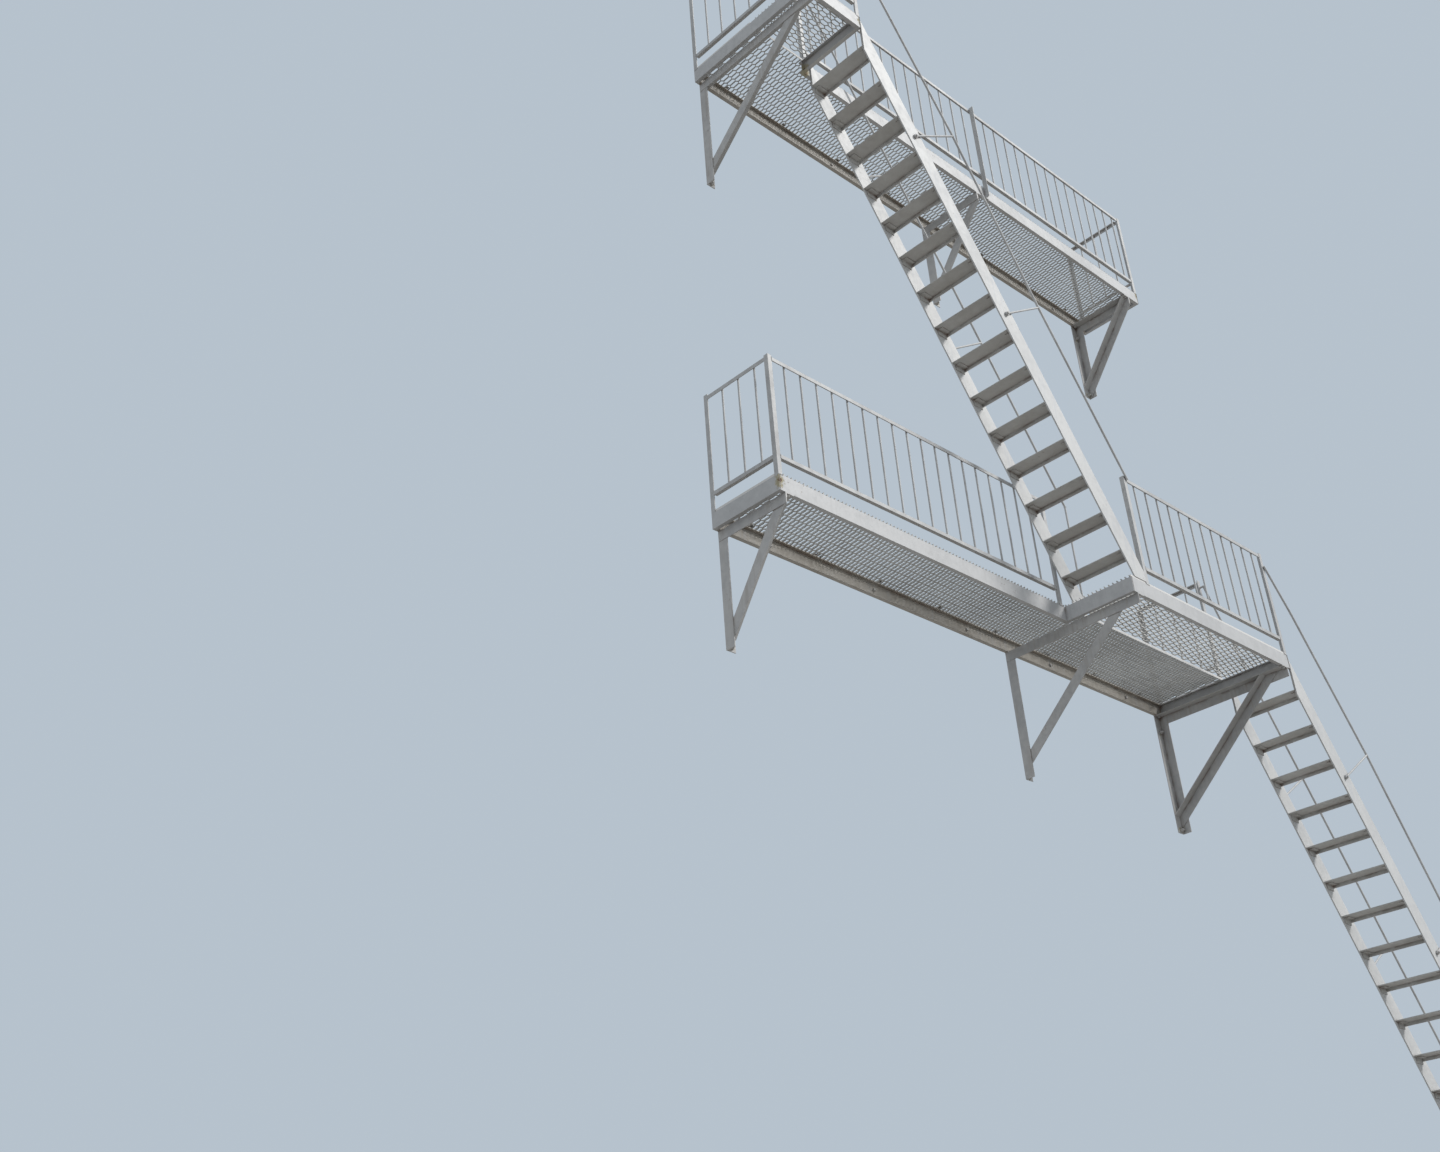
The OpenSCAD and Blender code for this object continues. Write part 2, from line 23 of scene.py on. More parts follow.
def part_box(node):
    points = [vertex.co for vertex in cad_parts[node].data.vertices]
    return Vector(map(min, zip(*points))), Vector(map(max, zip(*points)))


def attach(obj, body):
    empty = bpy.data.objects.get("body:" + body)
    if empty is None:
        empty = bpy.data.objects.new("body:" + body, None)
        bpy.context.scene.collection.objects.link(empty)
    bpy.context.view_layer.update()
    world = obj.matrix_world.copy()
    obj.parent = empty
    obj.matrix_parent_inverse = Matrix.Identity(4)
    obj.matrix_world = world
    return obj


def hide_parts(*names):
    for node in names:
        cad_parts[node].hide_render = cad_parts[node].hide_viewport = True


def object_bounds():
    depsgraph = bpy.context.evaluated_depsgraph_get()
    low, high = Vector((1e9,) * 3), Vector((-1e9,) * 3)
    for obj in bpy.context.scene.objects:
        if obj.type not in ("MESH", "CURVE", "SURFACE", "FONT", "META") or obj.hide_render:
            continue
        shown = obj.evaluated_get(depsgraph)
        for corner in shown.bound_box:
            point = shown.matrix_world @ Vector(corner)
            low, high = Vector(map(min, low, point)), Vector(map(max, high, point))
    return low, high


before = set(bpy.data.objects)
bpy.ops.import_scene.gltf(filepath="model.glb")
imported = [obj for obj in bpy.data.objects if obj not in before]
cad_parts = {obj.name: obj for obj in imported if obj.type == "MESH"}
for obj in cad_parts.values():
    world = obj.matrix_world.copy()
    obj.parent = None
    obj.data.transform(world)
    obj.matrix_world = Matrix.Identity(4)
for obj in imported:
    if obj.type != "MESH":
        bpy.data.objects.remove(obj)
cad_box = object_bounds()

LOG = logging.getLogger("fire_escape")
BODY = "root"

# Thickness of the channels, brackets and seats
PLATE = 0.006

UP = Vector((0, 0, 1))
DOWN = Vector((0, 0, -1))
OUT = Vector((0, -1, 0))
RIGHT = Vector((1, 0, 0))
SWAP_X_AND_Y = Matrix(((0, 1, 0), (1, 0, 0), (0, 0, 1))).to_4x4()

# Socket numbers of a Mix node that mixes colours, and of a Random Value node that gives floats
MIX_SHARE, MIX_FIRST, MIX_SECOND, MIX_RESULT = 0, 6, 7, 2
RANDOM_LEAST, RANDOM_MOST, RANDOM_RESULT = 2, 3, 1

Triple = tuple[float, float, float]
Point = Sequence[float]
Solids = list[tuple[int, list[tuple[float, float]]]]
Socket = bpy.types.NodeSocket
Sockets = dict[str, Socket]
Tree = bpy.types.NodeTree
Material = bpy.types.Material
Mesh = bpy.types.Mesh
Piece = bpy.types.Object
Shape = bmesh.types.BMesh


class Slot(Enum):
    """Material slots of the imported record."""

    FRAME = "frame_paint"
    GRATING = "grating_paint"
    STAIR = "stair_paint"
    RAILING = "railing_paint"


class Lie(Enum):
    """Which way the strands of a grating run."""

    ACROSS = "across the balcony"
    ALONG = "along the balcony"


class Coat(Enum):
    """Finishes, one for each kind of member."""

    CHANNEL = "channel_paint"
    LEDGER = "ledger_paint_and_wall_light"
    BRACKET = "bracket_paint"
    GRATING = "grating_paint"
    STRINGER = "stringer_paint"
    TREAD = "tread_paint"
    RAILING = "railing_paint"
    FIXING = "fixing_paint"


@dataclass
class Graph:
    """Adds and links the nodes of one node tree, set out in a row."""

    tree: Tree
    gap: float = 180.0

    def add(self, kind: str, inputs: dict | None = None, **settings: object) -> bpy.types.Node:
        """Adds a node, sets its properties and feeds its inputs.

        Args:
            kind: Type name of the node.
            inputs: Value or output socket for each input, by name or number.
            **settings: Properties of the node.

        Returns:
            The new node.
        """
        node = self.tree.nodes.new(kind)
        node.location.x = self.gap * len(self.tree.nodes)
        for name, value in settings.items():
            setattr(node, name, value)
        for key, value in (inputs or {}).items():
            self.feed(node.inputs[key], value)
        return node

    def feed(self, socket: Socket, value: object) -> None:
        """Links an input to an output socket, or sets it to a plain value.

        Args:
            socket: The input.
            value: The output socket or the value. A colour has three numbers.
        """
        if isinstance(value, Socket):
            self.tree.links.new(value, socket)
        elif socket.type == "RGBA":
            socket.default_value = (*value, 1.0)
        else:
            socket.default_value = value

    def calc(self, operation: str, *values: object) -> Socket:
        """Result of a Math node, which shaders and geometry share."""
        return self.add("ShaderNodeMath", dict(enumerate(values)), operation=operation).outputs[0]

    plus = partialmethod(calc, "ADD")
    minus = partialmethod(calc, "SUBTRACT")
    times = partialmethod(calc, "MULTIPLY")
    over = partialmethod(calc, "DIVIDE")
    most = partialmethod(calc, "MAXIMUM")

    def vector_calc(self, operation: str, *values: object) -> Sockets:
        """Outputs of a Vector Math node."""
        return self.add("ShaderNodeVectorMath", dict(enumerate(values)), operation=operation).outputs

    def ramp(self, value: object, low: float, high: float, start: float = 0.0, end: float = 1.0) -> Socket:
        """Smooth step from start to end while the value goes from low to high."""
        inputs = {"Value": value, "From Min": low, "From Max": high, "To Min": start, "To Max": end}
        return self.add("ShaderNodeMapRange", inputs, interpolation_type="SMOOTHSTEP").outputs["Result"]

    def noise(self, point: object, scale: float, detail: float = 3.0, rough: float = 0.55) -> Socket:
        """Noise from 0 to 1, with scale cells in a metre and detail octaves."""
        inputs = {"Vector": point, "Scale": scale, "Detail": detail, "Roughness": rough}
        return self.add("ShaderNodeTexNoise", inputs).outputs["Fac"]

    def stretched(self, point: object, scale: Triple) -> Socket:
        """Coordinates times a factor for each axis."""
        return self.add("ShaderNodeMapping", {"Vector": point, "Scale": scale}).outputs["Vector"]

    def blend(self, share: object, first: object, second: object) -> Socket:
        """Colour that goes from the first to the second as the share goes from 0 to 1."""
        inputs = {MIX_SHARE: share, MIX_FIRST: first, MIX_SECOND: second}
        return self.add("ShaderNodeMix", inputs, data_type="RGBA").outputs[MIX_RESULT]

    def random(self, least: object, most: object, seed: object) -> Socket:
        """Random number for each point, from least to most."""
        inputs = {RANDOM_LEAST: least, RANDOM_MOST: most, "Seed": seed}
        return self.add("FunctionNodeRandomValue", inputs, data_type="FLOAT").outputs[RANDOM_RESULT]

    def group(self, tree: Tree, **inputs: object) -> Sockets:
        """Outputs of a node group that is placed with its inputs."""
        return self.add("ShaderNodeGroup", inputs, node_tree=tree).outputs


def add_sockets(tree: Tree, way: str, kinds: dict[str, str]) -> dict[str, str]:
    """Adds sockets to a group.

    Args:
        tree: The group.
        way: Whether they are inputs or outputs.
        kinds: Kind of each socket by name.

    Returns:
        The identifier of each socket by name.
    """
    add = tree.interface.new_socket
    made = {name: add(name, in_out=way, socket_type="NodeSocket" + kind) for name, kind in kinds.items()}
    return {name: socket.identifier for name, socket in made.items()}


def open_group(name: str, inputs: dict[str, str], outputs: Sequence[str]) -> tuple[Graph, Sockets, Sockets]:
    """Starts a shader node group that reads coordinates from an input named Vector.

    Args:
        name: Name of the group.
        inputs: Socket kind for each further input.
        outputs: Names of the outputs, which are all numbers.

    Returns:
        The graph, the sockets that the group is given and those that it puts out.
    """
    tree = bpy.data.node_groups.new(name, "ShaderNodeTree")
    add_sockets(tree, "INPUT", {"Vector": "Vector", **inputs})
    add_sockets(tree, "OUTPUT", dict.fromkeys(outputs, "Float"))
    graph = Graph(tree)
    return graph, graph.add("NodeGroupInput").outputs, graph.add("NodeGroupOutput").inputs


def cleared(block: Material | bpy.types.World) -> Graph:
    """Empties the node tree of a material or a world.

    Args:
        block: The material or world.

    Returns:
        The graph of its tree.
    """
    block.use_nodes = True
    block.node_tree.nodes.clear()
    return Graph(block.node_tree)


class WeatherGroups:
    """Shader node groups for the wear and painted shade that all the paints share."""

    def __init__(self) -> None:
        """Builds each group once."""
        self.edge = self.build_edge()
        self.grime_and_shade = self.build_grime_and_shade()
        self.coat = self.build_coat()
        self.stain = self.build_stain()

    @staticmethod
    def build_edge() -> Tree:
        """Edges where the paint is worn, from the corners of the metal.

        Returns:
            The group, with a mask of the chips.
        """
        graph, given, out = open_group("worn_edges", {"Width": "Float", "Amount": "Float"}, ("Chips",))
        point, amount = given["Vector"], given["Amount"]
        rounded = graph.add("ShaderNodeBevel", {"Radius": given["Width"]}, samples=4).outputs["Normal"]
        true = graph.add("ShaderNodeNewGeometry").outputs["Normal"]
        edge = graph.ramp(graph.vector_calc("DOT_PRODUCT", rounded, true)["Value"], 0.995, 0.86)
        patches = graph.noise(point, scale=34.0, detail=5.0, rough=0.65)
        bare_above = graph.minus(0.74, graph.times(amount, 0.3))
        worn = graph.ramp(graph.minus(patches, bare_above), 0.0, 0.05)
        flakes = graph.ramp(graph.noise(point, scale=90.0, detail=4.0, rough=0.7), 0.60, 0.66)
        chips = graph.most(worn, graph.times(flakes, amount))
        graph.feed(out["Chips"], graph.times(chips, edge))
        return graph.tree

    @staticmethod
    def build_grime_and_shade() -> Tree:
        """Soiling and painted shade in corners and on undersides, soiling on ledges and in streaks down the
        faces.

        Returns:
            The group, with a mask for each kind of soiling, where those of corners and undersides are also
            painted shade, and one for the seams that rust.
        """
        outputs = ("Seams", "CornerSoilAndShade", "UndersideSoilAndShade", "Streaks", "Ledge")
        graph, given, out = open_group("grime_and_shade", {"Reach": "Float"}, outputs)
        point = given["Vector"]
        # Occlusion darkens corners and recesses: soiling and painted shade
        open_sky = graph.add("ShaderNodeAmbientOcclusion", {"Distance": given["Reach"]}, samples=6)
        closed = graph.ramp(open_sky.outputs["AO"], 0.80, 0.30)
        patches = graph.ramp(graph.noise(point, scale=11.0, detail=5.0, rough=0.6), 0.30, 0.60)
        graph.feed(out["CornerSoilAndShade"], graph.times(closed, patches))
        rusting = graph.ramp(graph.noise(point, scale=7.5, detail=5.0, rough=0.6), 0.49, 0.57)
        graph.feed(out["Seams"], graph.times(closed, rusting))
        normal = graph.add("ShaderNodeNewGeometry").outputs["Normal"]
        height = graph.add("ShaderNodeSeparateXYZ", {"Vector": normal}).outputs["Z"]
        clouds = graph.ramp(graph.noise(point, scale=5.0, detail=5.0, rough=0.6), 0.25, 0.65, 0.55, 1.0)
        # Faces that look down take a darker colour: soiling and painted shade
        graph.feed(out["UndersideSoilAndShade"], graph.times(graph.ramp(height, -0.35, -0.9), clouds))
        graph.feed(out["Ledge"], graph.times(graph.ramp(height, 0.5, 0.95), clouds))
        upright = graph.ramp(graph.calc("ABSOLUTE", height), 0.7, 0.4)
        runs = graph.noise(graph.stretched(point, (1.0, 1.0, 0.07)), scale=46.0, detail=4.0, rough=0.6)
        fields = graph.ramp(graph.noise(point, scale=2.6), 0.38, 0.62)
        streaks = graph.times(graph.ramp(runs, 0.46, 0.68), fields)
        graph.feed(out["Streaks"], graph.times(streaks, upright))
        return graph.tree

    @staticmethod
    def build_coat() -> Tree:
        """Brushed paint in several coats over old rust.

        Returns:
            The group, with a tone that varies, the height of the coat and a
            mask of the blisters that have burst.
        """
        graph, given, out = open_group("brushed_coat", {}, ("Tone", "Height", "Blisters"))
        point = given["Vector"]
        broad = graph.noise(point, scale=1.7, detail=4.0)
        fine = graph.noise(point, scale=21.0, detail=4.0)
        tone = graph.plus(graph.times(broad, 0.6), graph.times(fine, 0.4))
        graph.feed(out["Tone"], graph.ramp(tone, 0.36, 0.60))
        strokes = graph.noise(graph.stretched(point, (1.0, 0.35, 0.35)), scale=260.0)
        skin = graph.noise(point, scale=75.0)
        blisters = graph.ramp(graph.noise(point, scale=48.0, detail=4.0, rough=0.6), 0.62, 0.68)
        height = graph.plus(graph.times(strokes, 0.35), graph.times(skin, 0.65))
        graph.feed(out["Height"], graph.plus(height, graph.times(blisters, 0.8)))
        burst = graph.ramp(graph.noise(point, scale=3.3, detail=4.0, rough=0.6), 0.54, 0.66)
        graph.feed(out["Blisters"], graph.times(blisters, burst))
        return graph.tree

    @staticmethod
    def build_stain() -> Tree:
        """A stain round one point that runs down from it, ragged at its edge.

        Returns:
            The group, with the mask of the stain and that of its rusty flakes.
        """
        inputs = {"Centre": "Vector", "Radius": "Float", "Run": "Float"}
        graph, given, out = open_group("stain", inputs, ("Mask", "Flakes"))
        point = given["Vector"]
        away = graph.vector_calc("SUBTRACT", point, given["Centre"])["Vector"]
        parts = graph.add("ShaderNodeSeparateXYZ", {"Vector": away}).outputs
        below = graph.over(graph.calc("MINIMUM", parts["Z"], 0.0), given["Run"])
        height = graph.plus(graph.most(parts["Z"], 0.0), below)
        flat = graph.add("ShaderNodeCombineXYZ", {"X": parts["X"], "Y": parts["Y"], "Z": height}).outputs[0]
        share = graph.over(graph.vector_calc("LENGTH", flat)["Value"], given["Radius"])
        rough = graph.noise(point, scale=38.0, detail=6.0, rough=0.7)
        ragged = graph.plus(share, graph.times(rough, 1.6))
        fine = graph.noise(point, scale=120.0, detail=4.0, rough=0.65)
        flakes = graph.plus(ragged, graph.times(fine, 0.7))
        graph.feed(out["Mask"], graph.ramp(ragged, 1.45, 1.15))
        graph.feed(out["Flakes"], graph.ramp(flakes, 1.38, 1.26))
        return graph.tree


@dataclass(frozen=True)
class Stain:
    """A spot where the paint has come off and rust runs down, run times as far as to the sides."""

    centre: Point
    radius: float
    run: float = 1.5


@dataclass(frozen=True)
class PaintFinish:
    """Weathered paint on steel, with painted shade in corners and on undersides."""

    paint: Triple
    shade: Triple = (0.455, 0.46, 0.47)
    # Colour of soiling and painted shade in corners and recesses
    dirt_and_shade: Triple = (0.17, 0.145, 0.12)
    # Colour of settled soiling on ledges, and of soiling and painted shade on undersides
    dust_and_shade: Triple = (0.36, 0.33, 0.295)
    streak: Triple = (0.44, 0.45, 0.465)
    primer: Triple = (0.44, 0.40, 0.28)
    rust: Triple = (0.21, 0.095, 0.045)
    old_rust: Triple = (0.075, 0.045, 0.032)
    rust_grain: float = 63.0
    edge_width: float = 0.0022
    chips: float = 0.6
    # Strength of the soiling and painted shade in corners
    corner_dirt_and_shade: float = 0.7
    # Strength of the soiling and painted shade on undersides
    underside_dust_and_shade: float = 0.6
    ledge: float = 0.25
    streaks: float = 0.5
    blisters: float = 0.5
    seam_rust: float = 0.75
    corner_reach: float = 0.035
    roughness: float = 0.60
    rougher_if_bare: float = 0.35
    smoother_if_pale: float = 0.08
    bump: float = 0.00045
    paint_depth: float = 1.5
    stains: tuple[Stain, ...] = ()

    def material(self, coat_of: Coat, groups: WeatherGroups) -> Material:
        """Builds the material.

        Args:
            coat_of: The finish that it is, for its name.
            groups: The shared node groups.

        Returns:
            The new material.
        """
        material = bpy.data.materials.new(coat_of.value)
        graph = cleared(material)
        point = graph.add("ShaderNodeTexCoord").outputs["Object"]
        chips = graph.group(groups.edge, Vector=point, Width=self.edge_width, Amount=self.chips)["Chips"]
        grime_and_shade = graph.group(groups.grime_and_shade, Vector=point, Reach=self.corner_reach)
        coat = graph.group(groups.coat, Vector=point)
        surface = graph.blend(coat["Tone"], self.shade, self.paint)
        # Streaks and ledges are soiling; the corner and underside layers are soiling and painted shade
        layers = (
            (grime_and_shade["Streaks"], self.streaks, self.streak),
            (grime_and_shade["UndersideSoilAndShade"], self.underside_dust_and_shade, self.dust_and_shade),
            (grime_and_shade["Ledge"], self.ledge, self.dust_and_shade),
            (grime_and_shade["CornerSoilAndShade"], self.corner_dirt_and_shade, self.dirt_and_shade),
        )
        for mask, strength, tint in layers:
            surface = graph.blend(graph.times(mask, strength), surface, tint)
        blisters = graph.times(coat["Blisters"], self.blisters)
        rusting = graph.most(blisters, graph.times(grime_and_shade["Seams"], self.seam_rust))
        rusty = graph.blend(graph.noise(point, self.rust_grain, detail=4.0), self.old_rust, self.rust)
        for mask in (chips, rusting):
            surface = graph.blend(mask, surface, rusty)
        bare = graph.most(chips, rusting)
        for stain in self.stains:
            inputs = {"Centre": stain.centre, "Radius": stain.radius, "Run": stain.run}
            spot = graph.group(groups.stain, Vector=point, **inputs)
            surface = graph.blend(spot["Mask"], surface, self.primer)
            surface = graph.blend(spot["Flakes"], surface, rusty)
            bare = graph.most(bare, spot["Mask"])
        dull = graph.times(graph.most(bare, grime_and_shade["CornerSoilAndShade"]), self.rougher_if_bare)
        uneven = graph.times(coat["Tone"], -self.smoother_if_pale)
        rough = graph.plus(graph.plus(uneven, self.roughness), dull)
        height = graph.minus(coat["Height"], graph.times(bare, self.paint_depth))
        bump = graph.add("ShaderNodeBump", {"Height": height, "Distance": self.bump, "Strength": 1.0})
        inputs = {"Base Color": surface, "Roughness": rough, "Normal": bump.outputs["Normal"]}
        shader = graph.add("ShaderNodeBsdfPrincipled", inputs)
        graph.add("ShaderNodeOutputMaterial", {"Surface": shader.outputs["BSDF"]})
        return material


def new_piece(name: str, data: bpy.types.ID) -> Piece:
    """Object for a mesh, a lamp or a camera, linked to the scene at the origin.

    Args:
        name: Name of the object.
        data: Its mesh, lamp or camera.

    Returns:
        The object.
    """
    piece = bpy.data.objects.new(name, data)
    bpy.context.scene.collection.objects.link(piece)
    return piece


def mesh_of(name: str, shape: Shape) -> Mesh:
    """Turns a bmesh into a mesh and frees it.

    Args:
        name: Name of the mesh.
        shape: The bmesh.

    Returns:
        The mesh.
    """
    mesh = bpy.data.meshes.new(name)
    shape.to_mesh(mesh)
    shape.free()
    return mesh


def add_skin(shape: Shape, rings: list[list[bmesh.types.BMVert]]) -> None:
    """Joins rings of corners by faces and closes both ends.

    Args:
        shape: The bmesh that holds the corners.
        rings: The rings in order, with the same number of corners in each.
    """
    for low, high in zip(rings, rings[1:]):
        for index, corner in enumerate(low):
            after = (index + 1) % len(low)
            shape.faces.new((corner, low[after], high[after], high[index]))
    shape.faces.new(rings[0][::-1])
    shape.faces.new(rings[-1])


class NodeLayout:
    """A Geometry Nodes tree with named inputs, and how it is run."""

    def __init__(self, name: str, inputs: dict[str, str]) -> None:
        """Opens a tree with a geometry input, the named inputs and a material.

        Args:
            name: Name of the tree.
            inputs: Socket kind for each input name.
        """
        self.tree = bpy.data.node_groups.new(name, "GeometryNodeTree")
        kinds = {"Geometry": "Geometry", **inputs, "Material": "Material"}
        self.inputs = add_sockets(self.tree, "INPUT", kinds)
        add_sockets(self.tree, "OUTPUT", {"Geometry": "Geometry"})
        self.graph = Graph(self.tree)
        self.given = self.graph.add("NodeGroupInput").outputs

    def copies(self, points: Socket, label: str, **inputs: object) -> Socket:
        """Sets copies of an object on points.

        Args:
            points: Output socket with the points.
            label: Name of the input that holds the object.
            **inputs: Further inputs, such as the turn or size of each copy.

        Returns:
            The output socket with the instances.
        """
        shape = self.graph.add("GeometryNodeObjectInfo", {"Object": self.given[label]}).outputs["Geometry"]
        inputs = {"Points": points, "Instance": shape, **inputs}
        return self.graph.add("GeometryNodeInstanceOnPoints", inputs).outputs[0]

    def close(self, copies: Socket) -> NodeLayout:
        """Ends the tree by realizing the copies and setting the material.

        Args:
            copies: Output socket with the instances.

        Returns:
            The layout itself.
        """
        real = self.graph.add("GeometryNodeRealizeInstances", {"Geometry": copies}).outputs[0]
        inputs = {"Geometry": real, "Material": self.given["Material"]}
        dressed = self.graph.add("GeometryNodeSetMaterial", inputs).outputs[0]
        self.graph.add("NodeGroupOutput", {"Geometry": dressed})
        return self

    def run(self, name: str, start: Mesh, paint: Material, values: dict[str, object]) -> Piece:
        """Runs the tree on a mesh and keeps the result as a plain mesh.

        Args:
            name: Name of the new piece.
            start: Mesh that the tree starts from.
            paint: Material of the piece.
            values: Value for each named input, where a mesh is what is copied.

        Returns:
            The new piece.
        """
        helpers = [new_piece(name + "_layout", start)]
        modifier = helpers[0].modifiers.new("layout", "NODES")
        modifier.node_group = self.tree
        modifier[self.inputs["Material"]] = paint
        for label, value in values.items():
            if isinstance(value, Mesh):
                value = new_piece(name + "_" + label, value)
                helpers.append(value)
            modifier[self.inputs[label]] = value
        depsgraph = bpy.context.evaluated_depsgraph_get()
        mesh = bpy.data.meshes.new_from_object(helpers[0].evaluated_get(depsgraph), depsgraph=depsgraph)
        mesh.name = name
        helpers[0].modifiers.remove(modifier)
        for helper in helpers:
            bpy.data.objects.remove(helper)
        return new_piece(name, mesh)


def strand_layout() -> NodeLayout:
    """Tree that lays early and late strands in turn along X.

    Returns:
        The layout.
    """
    inputs = {"Early": "Object", "Late": "Object", "Count": "Int", "Step": "Float", "Start": "Float"}
    layout = NodeLayout("strands_side_by_side", inputs)
    graph, given = layout.graph, layout.given
    offset = graph.add("ShaderNodeCombineXYZ", {"X": given["Step"]}).outputs[0]
    start = graph.add("ShaderNodeCombineXYZ", {"X": given["Start"]}).outputs[0]
    inputs = {"Count": given["Count"], "Start Location": start, "Offset": offset}
    line = graph.add("GeometryNodeMeshLine", inputs).outputs[0]
    odd = graph.calc("MODULO", graph.add("GeometryNodeInputIndex").outputs[0], 2.0)
    joined = graph.add("GeometryNodeJoinGeometry")
    for label, chosen in (("Early", graph.minus(1.0, odd)), ("Late", odd)):
        graph.feed(joined.inputs[0], layout.copies(line, label, Selection=chosen))
    return layout.close(joined.outputs[0])


def fixing_layout() -> NodeLayout:
    """Tree that sets a fixing on every point, turned to its facing.

    Returns:
        The layout. Its start mesh has a vector attribute named facing.
    """
    layout = NodeLayout("fixings_on_points", {"Fixing": "Object", "Spin": "Float", "Seed": "Int"})
    graph, given = layout.graph, layout.given
    facing = graph.add("GeometryNodeInputNamedAttribute", {"Name": "facing"}, data_type="FLOAT_VECTOR")
    inputs = {"Vector": facing.outputs["Attribute"]}
    aligned = graph.add("FunctionNodeAlignRotationToVector", inputs, axis="Z").outputs[0]
    inputs = {"Angle": graph.random(0.0, given["Spin"], given["Seed"])}
    spin = graph.add("FunctionNodeAxisAngleToRotation", inputs).outputs[0]
    inputs = {"Rotation": aligned, "Rotate By": spin}
    turned = graph.add("FunctionNodeRotateRotation", inputs, rotation_space="LOCAL").outputs[0]
    return layout.close(layout.copies(given["Geometry"], "Fixing", Rotation=turned))


def weld_layout() -> NodeLayout:
    """Tree that lays the ripples of a weld bead along every edge.

    Returns:
        The layout.
    """
    inputs = {"Ripple": "Object", "Spacing": "Float", "Least": "Float", "Seed": "Int"}
    layout = NodeLayout("weld_ripples", inputs)
    graph, given = layout.graph, layout.given
    line = graph.add("GeometryNodeMeshToCurve", {"Mesh": given["Geometry"]}).outputs[0]
    inputs = {"Curve": line, "Length": given["Spacing"]}
    points = graph.add("GeometryNodeResampleCurve", inputs, mode="LENGTH").outputs[0]
    inputs = {"Vector": graph.add("GeometryNodeInputTangent").outputs[0]}
    aligned = graph.add("FunctionNodeAlignRotationToVector", inputs, axis="Z").outputs[0]
    size = graph.random(given["Least"], 1.0, given["Seed"])
    return layout.close(layout.copies(points, "Ripple", Rotation=aligned, Scale=size))


@dataclass
class ExpandedGrating:
    """Expanded metal deck: zigzag strands that are fused side by side."""

    node: str
    lie: Lie
    pitch: float = 0.0328
    row: float = 0.062
    bond: float = 0.040
    lap: float = 0.98
    strand_height: float = 0.0086
    strand_width: float = 0.0058
    lean: float = math.radians(20)
    border: float = 0.004

    def strand(self, length: float, late: bool, step: float) -> Mesh:
        """One zigzag strand that runs along Y from the origin.

        Args:
            length: Length of the strand.
            late: Whether it starts at its far side.
            step: Distance between two neighbouring strands.

        Returns:
            The strand.
        """
        fork = self.row - self.bond
        rows = max(2, round((length + fork) / self.row))
        pitch = (length + fork) / rows
        tall = Vector((math.sin(self.lean), 0, math.cos(self.lean))) * (self.strand_height / 2)
        wide = Vector((math.cos(self.lean), 0, -math.sin(self.lean))) * (self.strand_width / 2)
        shape = bmesh.new()
        rings = []
        for index in range(rows):
            far = (index % 2 == 1) != late
            centre = tall * (-self.lap if far else self.lap)
            centre += Vector((step if far else 0.0, 0, 2 * tall.z - wide.z))
            for along in (index * pitch, index * pitch + pitch - fork):
                point = centre + Vector((0, along, 0))
                corners = (-wide - tall, wide - tall, wide + tall, tall - wide)
                rings.append([shape.verts.new(point + corner) for corner in corners])
        add_skin(shape, rings)
        bmesh.ops.recalc_face_normals(shape, faces=shape.faces)
        return mesh_of("strand", shape)

    def build(self, layout: NodeLayout, paint: Material) -> Piece:
        """Builds the grating in the place of its deck.

        Args:
            layout: Tree that lays strands side by side.
            paint: Its material.

        Returns:
            The grating.
        """
        low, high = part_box(self.node)
        size = high - low
        width, length = (size.x, size.y) if self.lie is Lie.ACROSS else (size.y, size.x)
        margin = self.border + (self.strand_width + self.strand_height) / 2
        count = 2 * round((width - 2 * margin) / self.pitch)
        step = (width - 2 * margin) / (count + 1)
        early, late = [self.strand(length, is_late, step) for is_late in (False, True)]
        values = {"Early": early, "Late": late, "Count": count, "Step": step, "Start": margin}
        name = self.node.replace("deck", "grating")
        piece = layout.run(name, bpy.data.meshes.new("empty"), paint, values)
        self.add_borders(piece.data, width, length, size.z)
        if self.lie is Lie.ALONG:
            piece.data.transform(SWAP_X_AND_Y)
            piece.data.flip_normals()
        piece.data.transform(Matrix.Translation(low))
        return piece

    def add_borders(self, mesh: Mesh, width: float, length: float, height: float) -> None:
        """Adds the solid straight edges that the press leaves on both sides.

        Args:
            mesh: Mesh of the strands.
            width: Size of the grating across the strands.
            length: Size along the strands.
            height: Height of the grating.
        """
        shape = bmesh.new()
        shape.from_mesh(mesh)
        size = Matrix.Diagonal((self.border, length, height, 1))
        for side in (self.border / 2, width - self.border / 2):
            place = Matrix.Translation((side, length / 2, height / 2))
            bmesh.ops.create_cube(shape, size=1, matrix=place @ size)
        shape.to_mesh(mesh)
        shape.free()


class Turned:
    """Small part of closed solids round the Z axis, seated at z = 0 and facing +Z."""

    spin = 2 * math.pi

    def solids(self) -> Solids:
        """Number of sides of each solid, with the radius and height of its rings."""
        raise NotImplementedError

    def mesh(self) -> Mesh:
        """Builds the solids.

        Returns:
            The mesh.
        """
        shape = bmesh.new()
        for sides, rings in self.solids():
            turns = [2 * math.pi * (k + 0.5) / sides for k in range(sides)]
            corners = [[(r * math.cos(t), r * math.sin(t), z) for t in turns] for r, z in rings]
            add_skin(shape, [[shape.verts.new(corner) for corner in ring] for ring in corners])
        return mesh_of("turned", shape)


